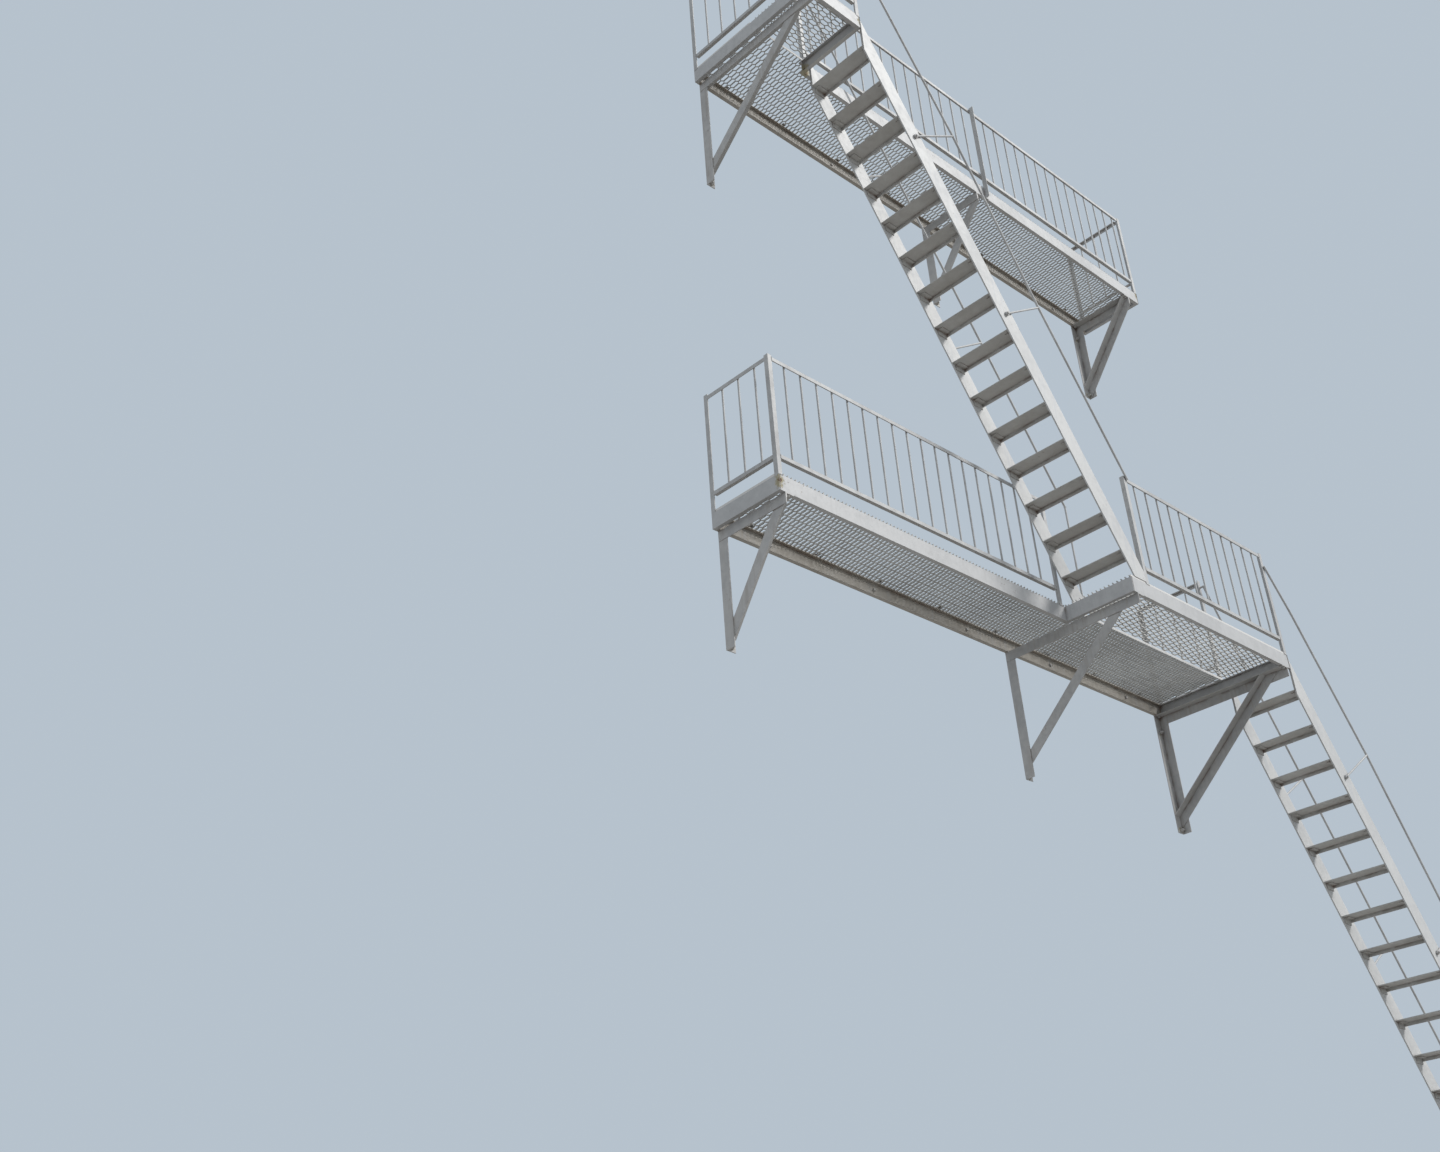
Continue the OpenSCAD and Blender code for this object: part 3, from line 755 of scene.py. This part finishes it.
@dataclass(frozen=True)
class HexFixing(Turned):
    """Hexagon bolt head or nut on a washer, with the end of its stud."""

    across_flats: float
    height: float
    washer_radius: float
    washer_height: float = 0.0025
    washer_sides: int = 14
    stud_radius: float = 0.0
    stud_length: float = 0.0
    stud_sides: int = 10
    chamfer: float = 0.0012
    rim_share: float = 0.75

    def solids(self) -> Solids:
        """The washer, the head and, where it has one, the stud.

        Returns:
            Number of sides of each, with the radius and height of its rings.
        """
        rim, seat, cut = self.washer_radius, self.washer_height, self.chamfer
        flat, top = self.across_flats / 2, seat + self.height
        corner = flat / math.cos(math.pi / 6)
        washer = (self.washer_sides, [(rim, 0.0), (rim, seat * self.rim_share), (rim - cut / 2, seat)])
        head = (6, [(corner, seat), (corner, top - cut), (flat, top)])
        stud, end = self.stud_radius, top + self.stud_length
        tip = (self.stud_sides, [(stud, top), (stud, end - cut), (stud - cut, end)])
        return [washer, head, tip] if self.stud_length > 0 else [washer, head]


@dataclass(frozen=True)
class Knob(Turned):
    """One rounded solid, with its profile as shares of its radius and height."""

    radius: float
    height: float
    sides: int
    profile: tuple[tuple[float, float], ...]

    def solids(self) -> Solids:
        """The solid."""
        return [(self.sides, [(self.radius * r, self.height * z) for r, z in self.profile])]


@dataclass(frozen=True)
class DeckClip(Turned):
    """Square saddle with a round bolt head that holds a grating down."""

    half: float = 0.0155
    plate: float = 0.003
    head_radius: float = 0.0085
    head_height: float = 0.005
    head_sides: int = 10
    rim_share: float = 0.6
    spin = 0.09

    def solids(self) -> Solids:
        """The saddle and the domed head.

        Returns:
            Number of sides of each, with the radius and height of its rings.
        """
        corner, plate = self.half * math.sqrt(2), self.plate
        saddle = (4, [(corner, 0.0), (corner, plate * self.rim_share), (corner - plate / 2, plate)])
        rings = ((1.0, 0.0), (0.88, 0.5), (0.6, 0.86), (0.2, 1.0))
        dome = [(self.head_radius * r, plate + self.head_height * z) for r, z in rings]
        return [saddle, (self.head_sides, dome)]


# Width across the flats, height and radius of the washer come first
WALL_ANCHOR = HexFixing(0.024, 0.013, 0.016, washer_height=0.003, stud_radius=0.008, stud_length=0.009)
FRAME_BOLT = HexFixing(0.019, 0.008, 0.0125)
POST_BOLT = HexFixing(0.017, 0.007, 0.0105)
ROD_BOLT = HexFixing(0.014, 0.006, 0.0095, washer_height=0.0015)
SHOE_NUT = HexFixing(0.019, 0.010, 0.0135, stud_radius=0.006, stud_length=0.012)

# Peened end of a baluster, and one ripple of a weld bead round the origin
RIVET_HEAD = Knob(0.0095, 0.0042, sides=10, profile=((1.0, 0.0), (0.9, 0.45), (0.62, 0.84), (0.22, 1.0)))
WELD_RIPPLE = Knob(0.0034, 0.00306, sides=6, profile=((0.5, -0.9), (1.0, 0.0), (0.5, 0.9)))


@dataclass(frozen=True)
class Place:
    """Where a fixing sits and which way it faces."""

    point: Point
    facing: Vector


@dataclass(frozen=True)
class Seam:
    """A straight weld seam."""

    start: Point
    end: Point


@dataclass
class Fitter:
    """Sets fixings and weld beads and hangs them on the body."""

    paint: Material
    fixings: NodeLayout = field(default_factory=fixing_layout)
    welds: NodeLayout = field(default_factory=weld_layout)
    spacing: float = 0.0042
    least: float = 0.78
    margin: float = 0.0036
    seed: int = 7

    def inside(self, point: Point) -> list[float]:
        """The nearest point that keeps a bead within the box of the part."""
        limits = zip(point, *cad_box)
        return [min(max(value, low + self.margin), high - self.margin) for value, low, high in limits]

    def finish(self, piece: Piece, slot: Slot) -> None:
        """Hangs a piece on the body and reports it.

        Args:
            piece: The piece.
            slot: Its material slot, which is not used.
        """
        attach(piece, BODY)
        LOG.info("%s has %d faces", piece.name, len(piece.data.polygons))

    def fit(self, name: str, kind: Turned, places: list[Place], slot: Slot) -> None:
        """Sets one kind of fixing at many places.

        Args:
            name: Name of the new piece.
            kind: The fixing.
            places: Where the fixings sit.
            slot: Material slot of the piece.
        """
        start = bpy.data.meshes.new(name + "_points")
        start.from_pydata([place.point for place in places], [], [])
        facing = start.attributes.new("facing", "FLOAT_VECTOR", "POINT")
        for index, place in enumerate(places):
            facing.data[index].vector = place.facing
        values = {"Fixing": kind.mesh(), "Spin": kind.spin, "Seed": self.seed}
        self.finish(self.fixings.run(name, start, self.paint, values), slot)

    def weld(self, name: str, seams: list[Seam], slot: Slot) -> None:
        """Lays weld beads along seams.

        Args:
            name: Name of the new piece.
            seams: The seams.
            slot: Material slot of the piece.
        """
        ends = [self.inside(end) for seam in seams for end in (seam.start, seam.end)]
        start = bpy.data.meshes.new(name + "_lines")
        start.from_pydata(ends, [(k, k + 1) for k in range(0, len(ends), 2)], [])
        ripple = WELD_RIPPLE.mesh()
        values = {"Ripple": ripple, "Spacing": self.spacing, "Least": self.least, "Seed": self.seed}
        self.finish(self.welds.run(name, start, self.paint, values), slot)


def gathered(parts: Sequence[object], method: Callable[..., list]) -> list:
    """What a method gives for each of the parts, in one list."""
    return [item for part in parts for item in method(part)]


@dataclass
class Bracket:
    """Knee bracket under a balcony, with its anchors, bolts and welds.

    The ends say where the middle line of its strut starts above the foot of
    the wall leg, and where it stops behind the tip of the level leg.
    """

    node: str
    ends: tuple[float, float]
    turned: bool = False
    leg: float = 0.070
    strut_width: float = 0.070
    anchor_top: float = 0.130
    anchor_foot: float = 0.024
    bolt_wall: float = 0.022
    bolt_front: float = 0.015

    def __post_init__(self) -> None:
        """Reads the box of the bracket and finds the side that its legs start from."""
        self.low, self.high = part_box(self.node)
        inward = -1.0 if self.turned else 1.0
        self.side = self.high.x if self.turned else self.low.x
        self.middle = self.side + inward * self.leg / 2
        self.inner = self.side + inward * PLATE

    def anchors(self) -> list[Place]:
        """The two anchors through the wall leg, the upper one first."""
        heights = (self.high.z - self.anchor_top, self.low.z + self.anchor_foot)
        return [Place((self.middle, -PLATE, z), OUT) for z in heights]

    def frame_bolts(self) -> list[Place]:
        """The bolts through the level leg and the flanges of the frame above it."""
        depths = (self.high.y - self.bolt_wall, self.low.y + self.bolt_front)
        return [Place((self.middle, y, self.high.z - PLATE), DOWN) for y in depths]

    def seams(self) -> list[Seam]:
        """Welds at the corner of the angles and at both ends of the strut.

        Returns:
            The seams.
        """
        foot = Vector((0, self.high.y - self.leg / 2, self.low.z + self.ends[0]))
        tip = Vector((0, self.low.y + self.ends[1], self.high.z - self.leg / 2))
        slope = (tip - foot).normalized()
        edge_y, edge_z = self.high.y - self.leg, self.high.z - self.leg
        middle_z = foot.z + (edge_y - foot.y) / slope.y * slope.z
        middle_y = foot.y + (edge_z - foot.z) / slope.z * slope.y
        half_z = self.strut_width / 2 / abs(slope.y)
        half_y = self.strut_width / 2 / abs(slope.z)
        return [
            Seam((self.side, self.high.y, edge_z), (self.side, edge_y, edge_z)),
            Seam((self.inner, edge_y, middle_z - half_z), (self.inner, edge_y, middle_z + half_z)),
            Seam((self.inner, middle_y - half_y, edge_z), (self.inner, middle_y + half_y, edge_z)),
        ]

    def stains(self) -> list[Stain]:
        """Rust at the foot of the wall leg and below its upper anchor."""
        upper, foot = [place.point for place in self.anchors()]
        return [Stain(foot, radius=0.048, run=0.6), Stain(upper, radius=0.022, run=3.0)]


@dataclass
class Railing:
    """One side of a balcony railing, seen from outside."""

    start: Vector
    along: Vector
    inward: Vector
    length: float
    first: float
    pitch: float = 0.138
    last: float = 0.060
    inset: float = 0.015
    leg: float = 0.032
    rail: float = 0.025
    bottom: float = 0.116
    top: float = 0.827

    def rivets(self) -> list[Place]:
        """Heads of the balusters above the top rail and under the bottom rail.

        Returns:
            The places.
        """
        places = []
        count = math.floor((self.length - self.first - self.last) / self.pitch) + 1
        for index in range(count):
            foot = self.start + self.along * (self.first + index * self.pitch) + self.inward * self.inset
            places += [Place(foot + UP * self.top, UP), Place(foot + UP * self.bottom, DOWN)]
        return places

    def seams(self) -> list[Seam]:
        """Welds at the feet of the end posts and at the ends of the rails.

        Returns:
            The seams.
        """
        seams = []
        for begin, way in ((self.start, 1.0), (self.start + self.along * self.length, -1.0)):
            inner = begin + self.along * (way * self.leg)
            seams.append(Seam(begin, inner))
            for height in (self.bottom, self.top - self.rail):
                seams.append(Seam(inner + UP * height, inner + UP * height + UP * self.rail))
        return seams


def bays(low: Vector, high: Vector, pitch: float) -> list[float]:
    """Middles of the equal bays, about a pitch wide, from one end of a box to the other."""
    count = round((high.x - low.x) / pitch)
    return [low.x + (high.x - low.x) / count * (k + 0.5) for k in range(count)]


@dataclass
class Balcony:
    """Frame, brackets, railings and clips of one level."""

    name: str
    brackets: list[Bracket]
    railings: list[Railing]
    corners: list[tuple[float, float]]
    anchor_pitch: float = 0.93
    clip_pitch: float = 0.60
    clip_inset: float = 0.017

    def ledger_anchors(self) -> list[Place]:
        """Wall anchors in the web of the ledger, between the brackets."""
        low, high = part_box(self.name + "_ledger")
        return [Place((x, -PLATE, (low.z + high.z) / 2), OUT) for x in bays(low, high, self.anchor_pitch)]

    def clips(self) -> list[Place]:
        """Clips along the wall, over the flange of the ledger."""
        low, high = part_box(self.name + "_walk_deck")
        return [Place((x, high.y - self.clip_inset, high.z), UP) for x in bays(low, high, self.clip_pitch)]

    def seams(self) -> list[Seam]:
        """Welds of the railings, the brackets and the corners of the frame.

        Returns:
            The seams.
        """
        low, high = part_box(self.name + "_ledger")
        seams = gathered(self.railings, Railing.seams) + gathered(self.brackets, Bracket.seams)
        return seams + [Seam((x, y, low.z), (x, y, high.z)) for x, y in self.corners]

    def fit_out(self, fitter: Fitter) -> None:
        """Sets everything that holds the balcony together.

        Args:
            fitter: Makes the pieces.
        """
        fixings = (
            ("_bracket_anchors", WALL_ANCHOR, gathered(self.brackets, Bracket.anchors), Slot.FRAME),
            ("_ledger_anchors", FRAME_BOLT, self.ledger_anchors(), Slot.FRAME),
            ("_frame_bolts", FRAME_BOLT, gathered(self.brackets, Bracket.frame_bolts), Slot.FRAME),
            ("_baluster_heads", RIVET_HEAD, gathered(self.railings, Railing.rivets), Slot.RAILING),
            ("_deck_clips", DeckClip(), self.clips(), Slot.GRATING),
        )
        for name, kind, places, slot in fixings:
            fitter.fit(self.name + name, kind, places, slot)
        fitter.weld(self.name + "_welds", self.seams(), Slot.FRAME)


LOWER_STRUT = (0.071, 0.045)
UPPER_STRUT = (0.072, 0.008)
PAD_STRUT = (0.114, 0.158)
UPPER_BOLT_FRONT = 0.018

# From the start of a railing to its first baluster
END_FIRST = 0.148
PAD_FIRST = 0.133
UPPER_FIRST = 0.113


def frame_ends(ledger: str) -> tuple[float, float, float]:
    """Left end, right end and top of the frame that a ledger belongs to."""
    low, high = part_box(ledger)
    return low.x - PLATE, high.x + PLATE, high.z


def lower_balcony() -> Balcony:
    """The lower balcony, with its stair pad at the right end.

    Returns:
        The balcony.
    """
    left, right, top = frame_ends("lower_ledger")
    walk, pad = [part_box(node)[0].y for node in ("lower_front_beam", "lower_pad_front")]
    pad_left, pad_post = [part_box(node)[0].x for node in ("lower_pad_side", "lower_rail_pad")]
    walk_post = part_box("lower_rail_front")[1].x
    railings = [
        Railing(Vector((left, 0, top)), OUT, RIGHT, -walk, END_FIRST),
        Railing(Vector((left, walk, top)), RIGHT, -OUT, walk_post - left, END_FIRST),
        Railing(Vector((pad_post, pad, top)), RIGHT, -OUT, right - pad_post, PAD_FIRST),
        Railing(Vector((right, 0, top)), OUT, -RIGHT, -walk, END_FIRST),
    ]
    brackets = [
        Bracket("lower_bracket_left", LOWER_STRUT),
        Bracket("lower_bracket_pad", PAD_STRUT),
        Bracket("lower_bracket_right", PAD_STRUT, turned=True),
    ]
    corners = [(left + PLATE, walk), (pad_left + PLATE, pad), (right - PLATE, pad)]
    return Balcony("lower", brackets, railings, corners)


def upper_balcony() -> Balcony:
    """The upper balcony, with its stair pad at the left end.

    Returns:
        The balcony.
    """
    left, right, top = frame_ends("upper_ledger")
    walk, pad = [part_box(node)[0].y for node in ("upper_front_beam", "upper_pad_front")]
    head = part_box("upper_header")[1].x
    railings = [
        Railing(Vector((left, 0, top)), OUT, RIGHT, -pad, END_FIRST),
        Railing(Vector((left, pad, top)), RIGHT, -OUT, head - left, PAD_FIRST),
        Railing(Vector((head, walk, top)), RIGHT, -OUT, right - head, UPPER_FIRST),
        Railing(Vector((right, 0, top)), OUT, -RIGHT, -walk, END_FIRST),
    ]
    brackets = [
        Bracket("upper_bracket_left", PAD_STRUT),
        Bracket("upper_bracket_mid", UPPER_STRUT, bolt_front=UPPER_BOLT_FRONT),
        Bracket("upper_bracket_right", UPPER_STRUT, turned=True, bolt_front=UPPER_BOLT_FRONT),
    ]
    corners = [(left + PLATE, pad), (head - PLATE, pad), (right - PLATE, walk)]
    return Balcony("upper", brackets, railings, corners)


@dataclass
class Flight:
    """Steep stair that starts at a channel, with its tread seats and handrail standoffs."""

    channel: str
    treads: int
    standoffs: int
    inner: float = -0.604
    outer: float = -1.072
    rise: float = 0.230
    run: float = 0.142
    drop: float = 0.040
    back: float = 0.009
    seat_start: float = 0.031
    seat_length: float = 0.090
    seat_low: float = 0.048
    bar: float = 0.010
    bar_low: float = 0.005
    bar_width: float = 0.144
    first_standoff: float = 0.712
    standoff_steps: int = 5
    rod: float = 0.008

    def __post_init__(self) -> None:
        """Reads where the flight starts and works out its slope."""
        self.head, _, self.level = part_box(self.channel)[1]
        self.slope = Vector((self.run, 0, -self.rise)).normalized()
        self.normal = Vector((self.rise, 0, self.run)).normalized()

    def corner(self, index: int) -> Vector:
        """Top back corner of a tread, at the wall, with number 0 at the top."""
        x = self.head - self.back + index * self.run
        return Vector((x, 0, self.level - self.drop - (index + 1) * self.rise))

    def out_of(self, along: float, out: float) -> Vector:
        """Point at the wall, down the slope from the first tread and out of the line of the tread backs."""
        return self.corner(0) + self.slope * along + self.normal * out

    def seat_seams(self) -> list[Seam]:
        """Welds along and beside the seats of the treads.

        Returns:
            The seams.
        """
        seams = []
        rise = UP * (self.seat_low - PLATE)
        for index in range(self.treads):
            for y in (self.inner, self.outer):
                start = self.corner(index) + Vector((self.seat_start, y, -self.seat_low))
                end = start + RIGHT * self.seat_length
                seams += [Seam(start, end), Seam(start, start + rise), Seam(end, end + rise)]
        return seams

    def head_seams(self) -> list[Seam]:
        """Welds between the stringers and the channel.

        Returns:
            The seams.
        """
        back = self.out_of(0.0, -self.bar_low)
        low = back.z + (back.x - self.head) / self.run * self.rise
        faces = (self.inner, self.inner + self.bar, self.outer, self.outer - self.bar)
        return [Seam((self.head, y, low), (self.head, y, self.level)) for y in faces]

    def standoff_bolts(self) -> list[Place]:
        """Bolts through the round feet of the handrail standoffs.

        Returns:
            The places.
        """
        out = self.bar_width / 2 - self.bar_low
        step = self.standoff_steps * math.hypot(self.rise, self.run)
        stand = self.bar + 2 * self.rod
        places = []
        for index in range(self.standoffs):
            x, _, z = self.out_of(self.first_standoff + index * step, out)
            places += [Place((x, self.inner + stand, z), -OUT), Place((x, self.outer - stand, z), OUT)]
        return places


@dataclass
class Shoe:
    """Foot plate of a stringer with its two ground anchors."""

    node: str
    way: float
    half_length: float = 0.125
    half_width: float = 0.045
    plate: float = 0.010
    anchor_reach: float = 0.095
    anchor_side: float = 0.027

    def anchors(self) -> list[Place]:
        """The anchors in the holes of the plate.

        Returns:
            The places.
        """
        low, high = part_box(self.node)
        middle = high.x - self.half_length
        y = low.y + self.half_width + self.way * self.anchor_side
        ends = (middle - self.anchor_reach, middle + self.anchor_reach)
        return [Place((x, y, low.z + self.plate), UP) for x in ends]


@dataclass
class MiddlePost:
    """Post of the upper front railing, bolted to the face of the beam."""

    from_left: float = 2.535
    half_leg: float = 0.021
    thickness: float = 0.005
    bolts_down: tuple[float, ...] = (0.030, 0.078)

    def bolts(self) -> list[Place]:
        """The bolts through its foot.

        Returns:
            The places.
        """
        low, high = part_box("upper_front_beam")
        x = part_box("upper_end_left")[0].x + self.from_left + self.half_leg
        return [Place((x, low.y - self.thickness, high.z - down), OUT) for down in self.bolts_down]


@dataclass
class Stair:
    """Both flights, their shoes and the post beside them."""

    flights: list[Flight]
    shoes: list[Shoe]
    post: MiddlePost

    def fit_out(self, fitter: Fitter) -> None:
        """Sets the bolts and welds of the stair.

        Args:
            fitter: Makes the pieces.
        """
        feet = gathered(self.flights, Flight.standoff_bolts)
        fitter.fit("handrail_foot_bolts", ROD_BOLT, feet, Slot.STAIR)
        fitter.fit("middle_post_bolts", POST_BOLT, self.post.bolts(), Slot.RAILING)
        fitter.fit("shoe_anchors", SHOE_NUT, gathered(self.shoes, Shoe.anchors), Slot.STAIR)
        fitter.weld("tread_seat_welds", gathered(self.flights, Flight.seat_seams), Slot.STAIR)
        fitter.weld("stringer_head_welds", gathered(self.flights, Flight.head_seams), Slot.STAIR)


def make_finishes(brackets: list[Bracket]) -> dict[Coat, Material]:
    """Builds all the finishes, with rust where the photograph shows it.

    Args:
        brackets: The brackets, for their rust.

    Returns:
        The materials by coat.
    """
    bracket_stains = tuple(gathered(brackets, Bracket.stains))
    beam_low, beam_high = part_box("lower_front_beam")
    head_low, head_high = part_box("upper_header")
    end_low, end_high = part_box("upper_end_right")
    channel_stains = (
        Stain((beam_low.x, beam_low.y, beam_high.z - 0.035), radius=0.062, run=1.6),
        Stain((head_high.x, head_high.y, head_low.z + 0.03), radius=0.085),
        Stain((head_high.x, head_low.y, head_high.z - 0.03), radius=0.055, run=2.0),
        Stain((end_high.x, end_low.y, end_high.z - 0.02), radius=0.05, run=2.0),
    )
    post_low, post_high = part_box("upper_rail_right")
    rail_stain = Stain((post_high.x, post_low.y, post_low.z + 0.01), radius=0.05, run=1.0)
    finishes = {
        # The slight blue of the channel colours is painted sky light, as on faces in shade
        Coat.CHANNEL: PaintFinish(
            (0.585, 0.595, 0.61), shade=(0.51, 0.52, 0.535), streaks=0.3, stains=channel_stains
        ),
        # The brownish colour of the ledger is soiling and painted warm light thrown back from the wall
        Coat.LEDGER: PaintFinish(
            (0.50, 0.475, 0.435), shade=(0.37, 0.345, 0.305), dust_and_shade=(0.30, 0.26, 0.215), underside_dust_and_shade=0.7
        ),
        Coat.BRACKET: PaintFinish(
            (0.56, 0.56, 0.56), streak=(0.40, 0.37, 0.34), streaks=0.6, stains=bracket_stains
        ),
        Coat.GRATING: PaintFinish(
            (0.54, 0.54, 0.525), shade=(0.40, 0.395, 0.38), corner_dirt_and_shade=0.5, underside_dust_and_shade=0.7,
            edge_width=0.0010, corner_reach=0.012, bump=0.00025,
        ),
        # The stringer is lighter than the other members: painted sunlight
        Coat.STRINGER: PaintFinish(
            (0.665, 0.675, 0.68), shade=(0.59, 0.60, 0.61), streak=(0.48, 0.52, 0.58), streaks=0.35
        ),
        Coat.TREAD: PaintFinish((0.60, 0.60, 0.59), shade=(0.49, 0.485, 0.47), underside_dust_and_shade=0.5, ledge=0.5),
        Coat.RAILING: PaintFinish((0.575, 0.585, 0.595), corner_reach=0.02, stains=(rail_stain,)),
        Coat.FIXING: PaintFinish(
            (0.50, 0.495, 0.48), chips=0.8, corner_dirt_and_shade=0.35, seam_rust=0.6,
            edge_width=0.0008, corner_reach=0.012, bump=0.00018,
        ),
    }
    groups = WeatherGroups()
    return {coat: finish.material(coat, groups) for coat, finish in finishes.items()}


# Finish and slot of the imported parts, by the first of these words that is in their names
KINDS = {
    "deck": (Coat.GRATING, Slot.GRATING),
    "tread": (Coat.TREAD, Slot.STAIR),
    "stringer": (Coat.STRINGER, Slot.STAIR),
    "rail": (Coat.RAILING, Slot.RAILING),
    "bracket": (Coat.BRACKET, Slot.FRAME),
    "ledger": (Coat.LEDGER, Slot.FRAME),
    "": (Coat.CHANNEL, Slot.FRAME),
}


def dress(nodes: dict[str, Piece], finishes: dict[Coat, Material]) -> None:
    """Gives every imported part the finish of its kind.

    Args:
        nodes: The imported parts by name.
        finishes: The materials by coat.
    """
    for name, part in nodes.items():
        coat, slot = next(kind for word, kind in KINDS.items() if word in name)
        part.data.materials.clear()
        part.data.materials.append(finishes[coat])
        LOG.info("%s wears %s", name, coat.value)


@dataclass
class Studio:
    """Floor, light and camera."""

    floor_z: float
    floor_size: float = 400.0
    floor_colour: Triple = (0.70, 0.71, 0.715)
    floor_bounce: Triple = (0.30, 0.30, 0.295)
    floor_roughness: float = 0.9
    sky_colour: Triple = (0.47, 0.54, 0.61)
    fill_colour: Triple = (0.92, 0.965, 1.0)
    fill_above: float = 0.56
    fill_below: float = 0.245
    horizon: float = 0.35
    key: float = 2.4
    key_colour: Triple = (1.0, 0.975, 0.94)
    key_angle: float = math.radians(16)
    key_from: Triple = (0.50, -0.66, 0.72)
    eye: Triple = (-5.763, -5.726, -4.377)
    right: Triple = (0.72936, -0.68142, -0.06075)
    up: Triple = (-0.30153, -0.39991, 0.86553)
    back: Triple = (-0.61409, -0.61297, -0.49715)
    focal: float = 1614.52
    centre: tuple[float, float] = (720.29, 549.79)
    picture: tuple[float, float] = (1440.0, 1152.0)
    sensor: float = 36.0
    sight: float = 500.0

    def build(self) -> None:
        """Makes the floor, the lamps and the camera."""
        self.make_floor()
        self.make_world()
        self.make_key()
        self.make_camera()
        bpy.context.scene.view_settings.view_transform = "Standard"

    @staticmethod
    def seen(graph: Graph) -> Socket:
        """Tells the rays of the camera and of reflections from others.

        Args:
            graph: The graph to add to.

        Returns:
            The output socket, 1 for such rays.
        """
        path = graph.add("ShaderNodeLightPath").outputs
        shiny = graph.most(path["Is Glossy Ray"], path["Is Transmission Ray"])
        return graph.most(path["Is Camera Ray"], shiny)

    def make_floor(self) -> None:
        """Pale floor at the foot of the stair, which throws little light upwards."""
        shape = bmesh.new()
        bmesh.ops.create_grid(shape, x_segments=2, y_segments=2, size=self.floor_size)
        floor = new_piece("floor", mesh_of("floor", shape))
        floor.location.z = self.floor_z
        material = bpy.data.materials.new("pale_floor")
        graph = cleared(material)
        tint = graph.blend(self.seen(graph), self.floor_bounce, self.floor_colour)
        inputs = {"Base Color": tint, "Roughness": self.floor_roughness}
        shader = graph.add("ShaderNodeBsdfPrincipled", inputs).outputs["BSDF"]
        graph.add("ShaderNodeOutputMaterial", {"Surface": shader})
        floor.data.materials.append(material)

    def make_world(self) -> None:
        """Soft fill light, mostly from above, with a pale backdrop for the camera."""
        world = bpy.data.worlds.new("studio")
        graph = cleared(world)
        towards = graph.add("ShaderNodeTexCoord").outputs["Generated"]
        height = graph.add("ShaderNodeSeparateXYZ", {"Vector": towards}).outputs["Z"]
        strength = graph.ramp(height, -self.horizon, self.horizon, self.fill_below, self.fill_above)
        inputs = {"Color": self.fill_colour, "Strength": strength}
        fill = graph.add("ShaderNodeBackground", inputs).outputs[0]
        inputs = {"Color": self.sky_colour, "Strength": 1.0}
        backdrop = graph.add("ShaderNodeBackground", inputs).outputs[0]
        mix = graph.add("ShaderNodeMixShader", {0: self.seen(graph), 1: fill, 2: backdrop})
        graph.add("ShaderNodeOutputWorld", {"Surface": mix.outputs[0]})
        bpy.context.scene.world = world

    def make_key(self) -> None:
        """Soft key light from the upper right, in front of the wall."""
        lamp = bpy.data.lights.new("key", "SUN")
        lamp.energy = self.key
        lamp.angle = self.key_angle
        lamp.color = self.key_colour
        holder = new_piece("key", lamp)
        holder.rotation_mode = "QUATERNION"
        holder.rotation_quaternion = (-Vector(self.key_from)).to_track_quat("-Z", "Y")

    def make_camera(self) -> None:
        """Camera where the photograph was taken from."""
        data = bpy.data.cameras.new("camera")
        data.sensor_width = self.sensor
        width, height = self.picture
        data.lens = self.sensor * self.focal / width
        data.shift_x = (width / 2 - self.centre[0]) / width
        data.shift_y = (self.centre[1] - height / 2) / width
        data.clip_end = self.sight
        camera = new_piece("camera", data)
        axes = Matrix((self.right, self.up, self.back)).transposed()
        camera.matrix_world = Matrix.Translation(self.eye) @ axes.to_4x4()
        bpy.context.scene.camera = camera


def main() -> None:
    """Builds the looks of the whole stair."""
    logging.basicConfig(level=logging.INFO, format="%(name)s: %(message)s")
    balconies = [lower_balcony(), upper_balcony()]
    finishes = make_finishes(balconies[0].brackets + balconies[1].brackets)
    dress(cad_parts, finishes)
    layout = strand_layout()
    fitter = Fitter(finishes[Coat.FIXING])
    for level in ("lower", "upper"):
        for part, lie in (("walk", Lie.ACROSS), ("pad", Lie.ALONG)):
            grating = ExpandedGrating(f"{level}_{part}_deck", lie)
            piece = grating.build(layout, finishes[Coat.GRATING])
            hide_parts(grating.node)
            fitter.finish(piece, Slot.GRATING)
    upper = Flight("upper_header", treads=15, standoffs=2)
    lower = Flight("lower_end_right", treads=23, standoffs=4)
    shoes = [Shoe("lower_stringer_inner", way=-1.0), Shoe("lower_stringer_outer", way=1.0)]
    for assembly in (*balconies, Stair([upper, lower], shoes, MiddlePost())):
        assembly.fit_out(fitter)
    Studio(cad_box[0].z).build()


if __name__ == "__main__":
    main()
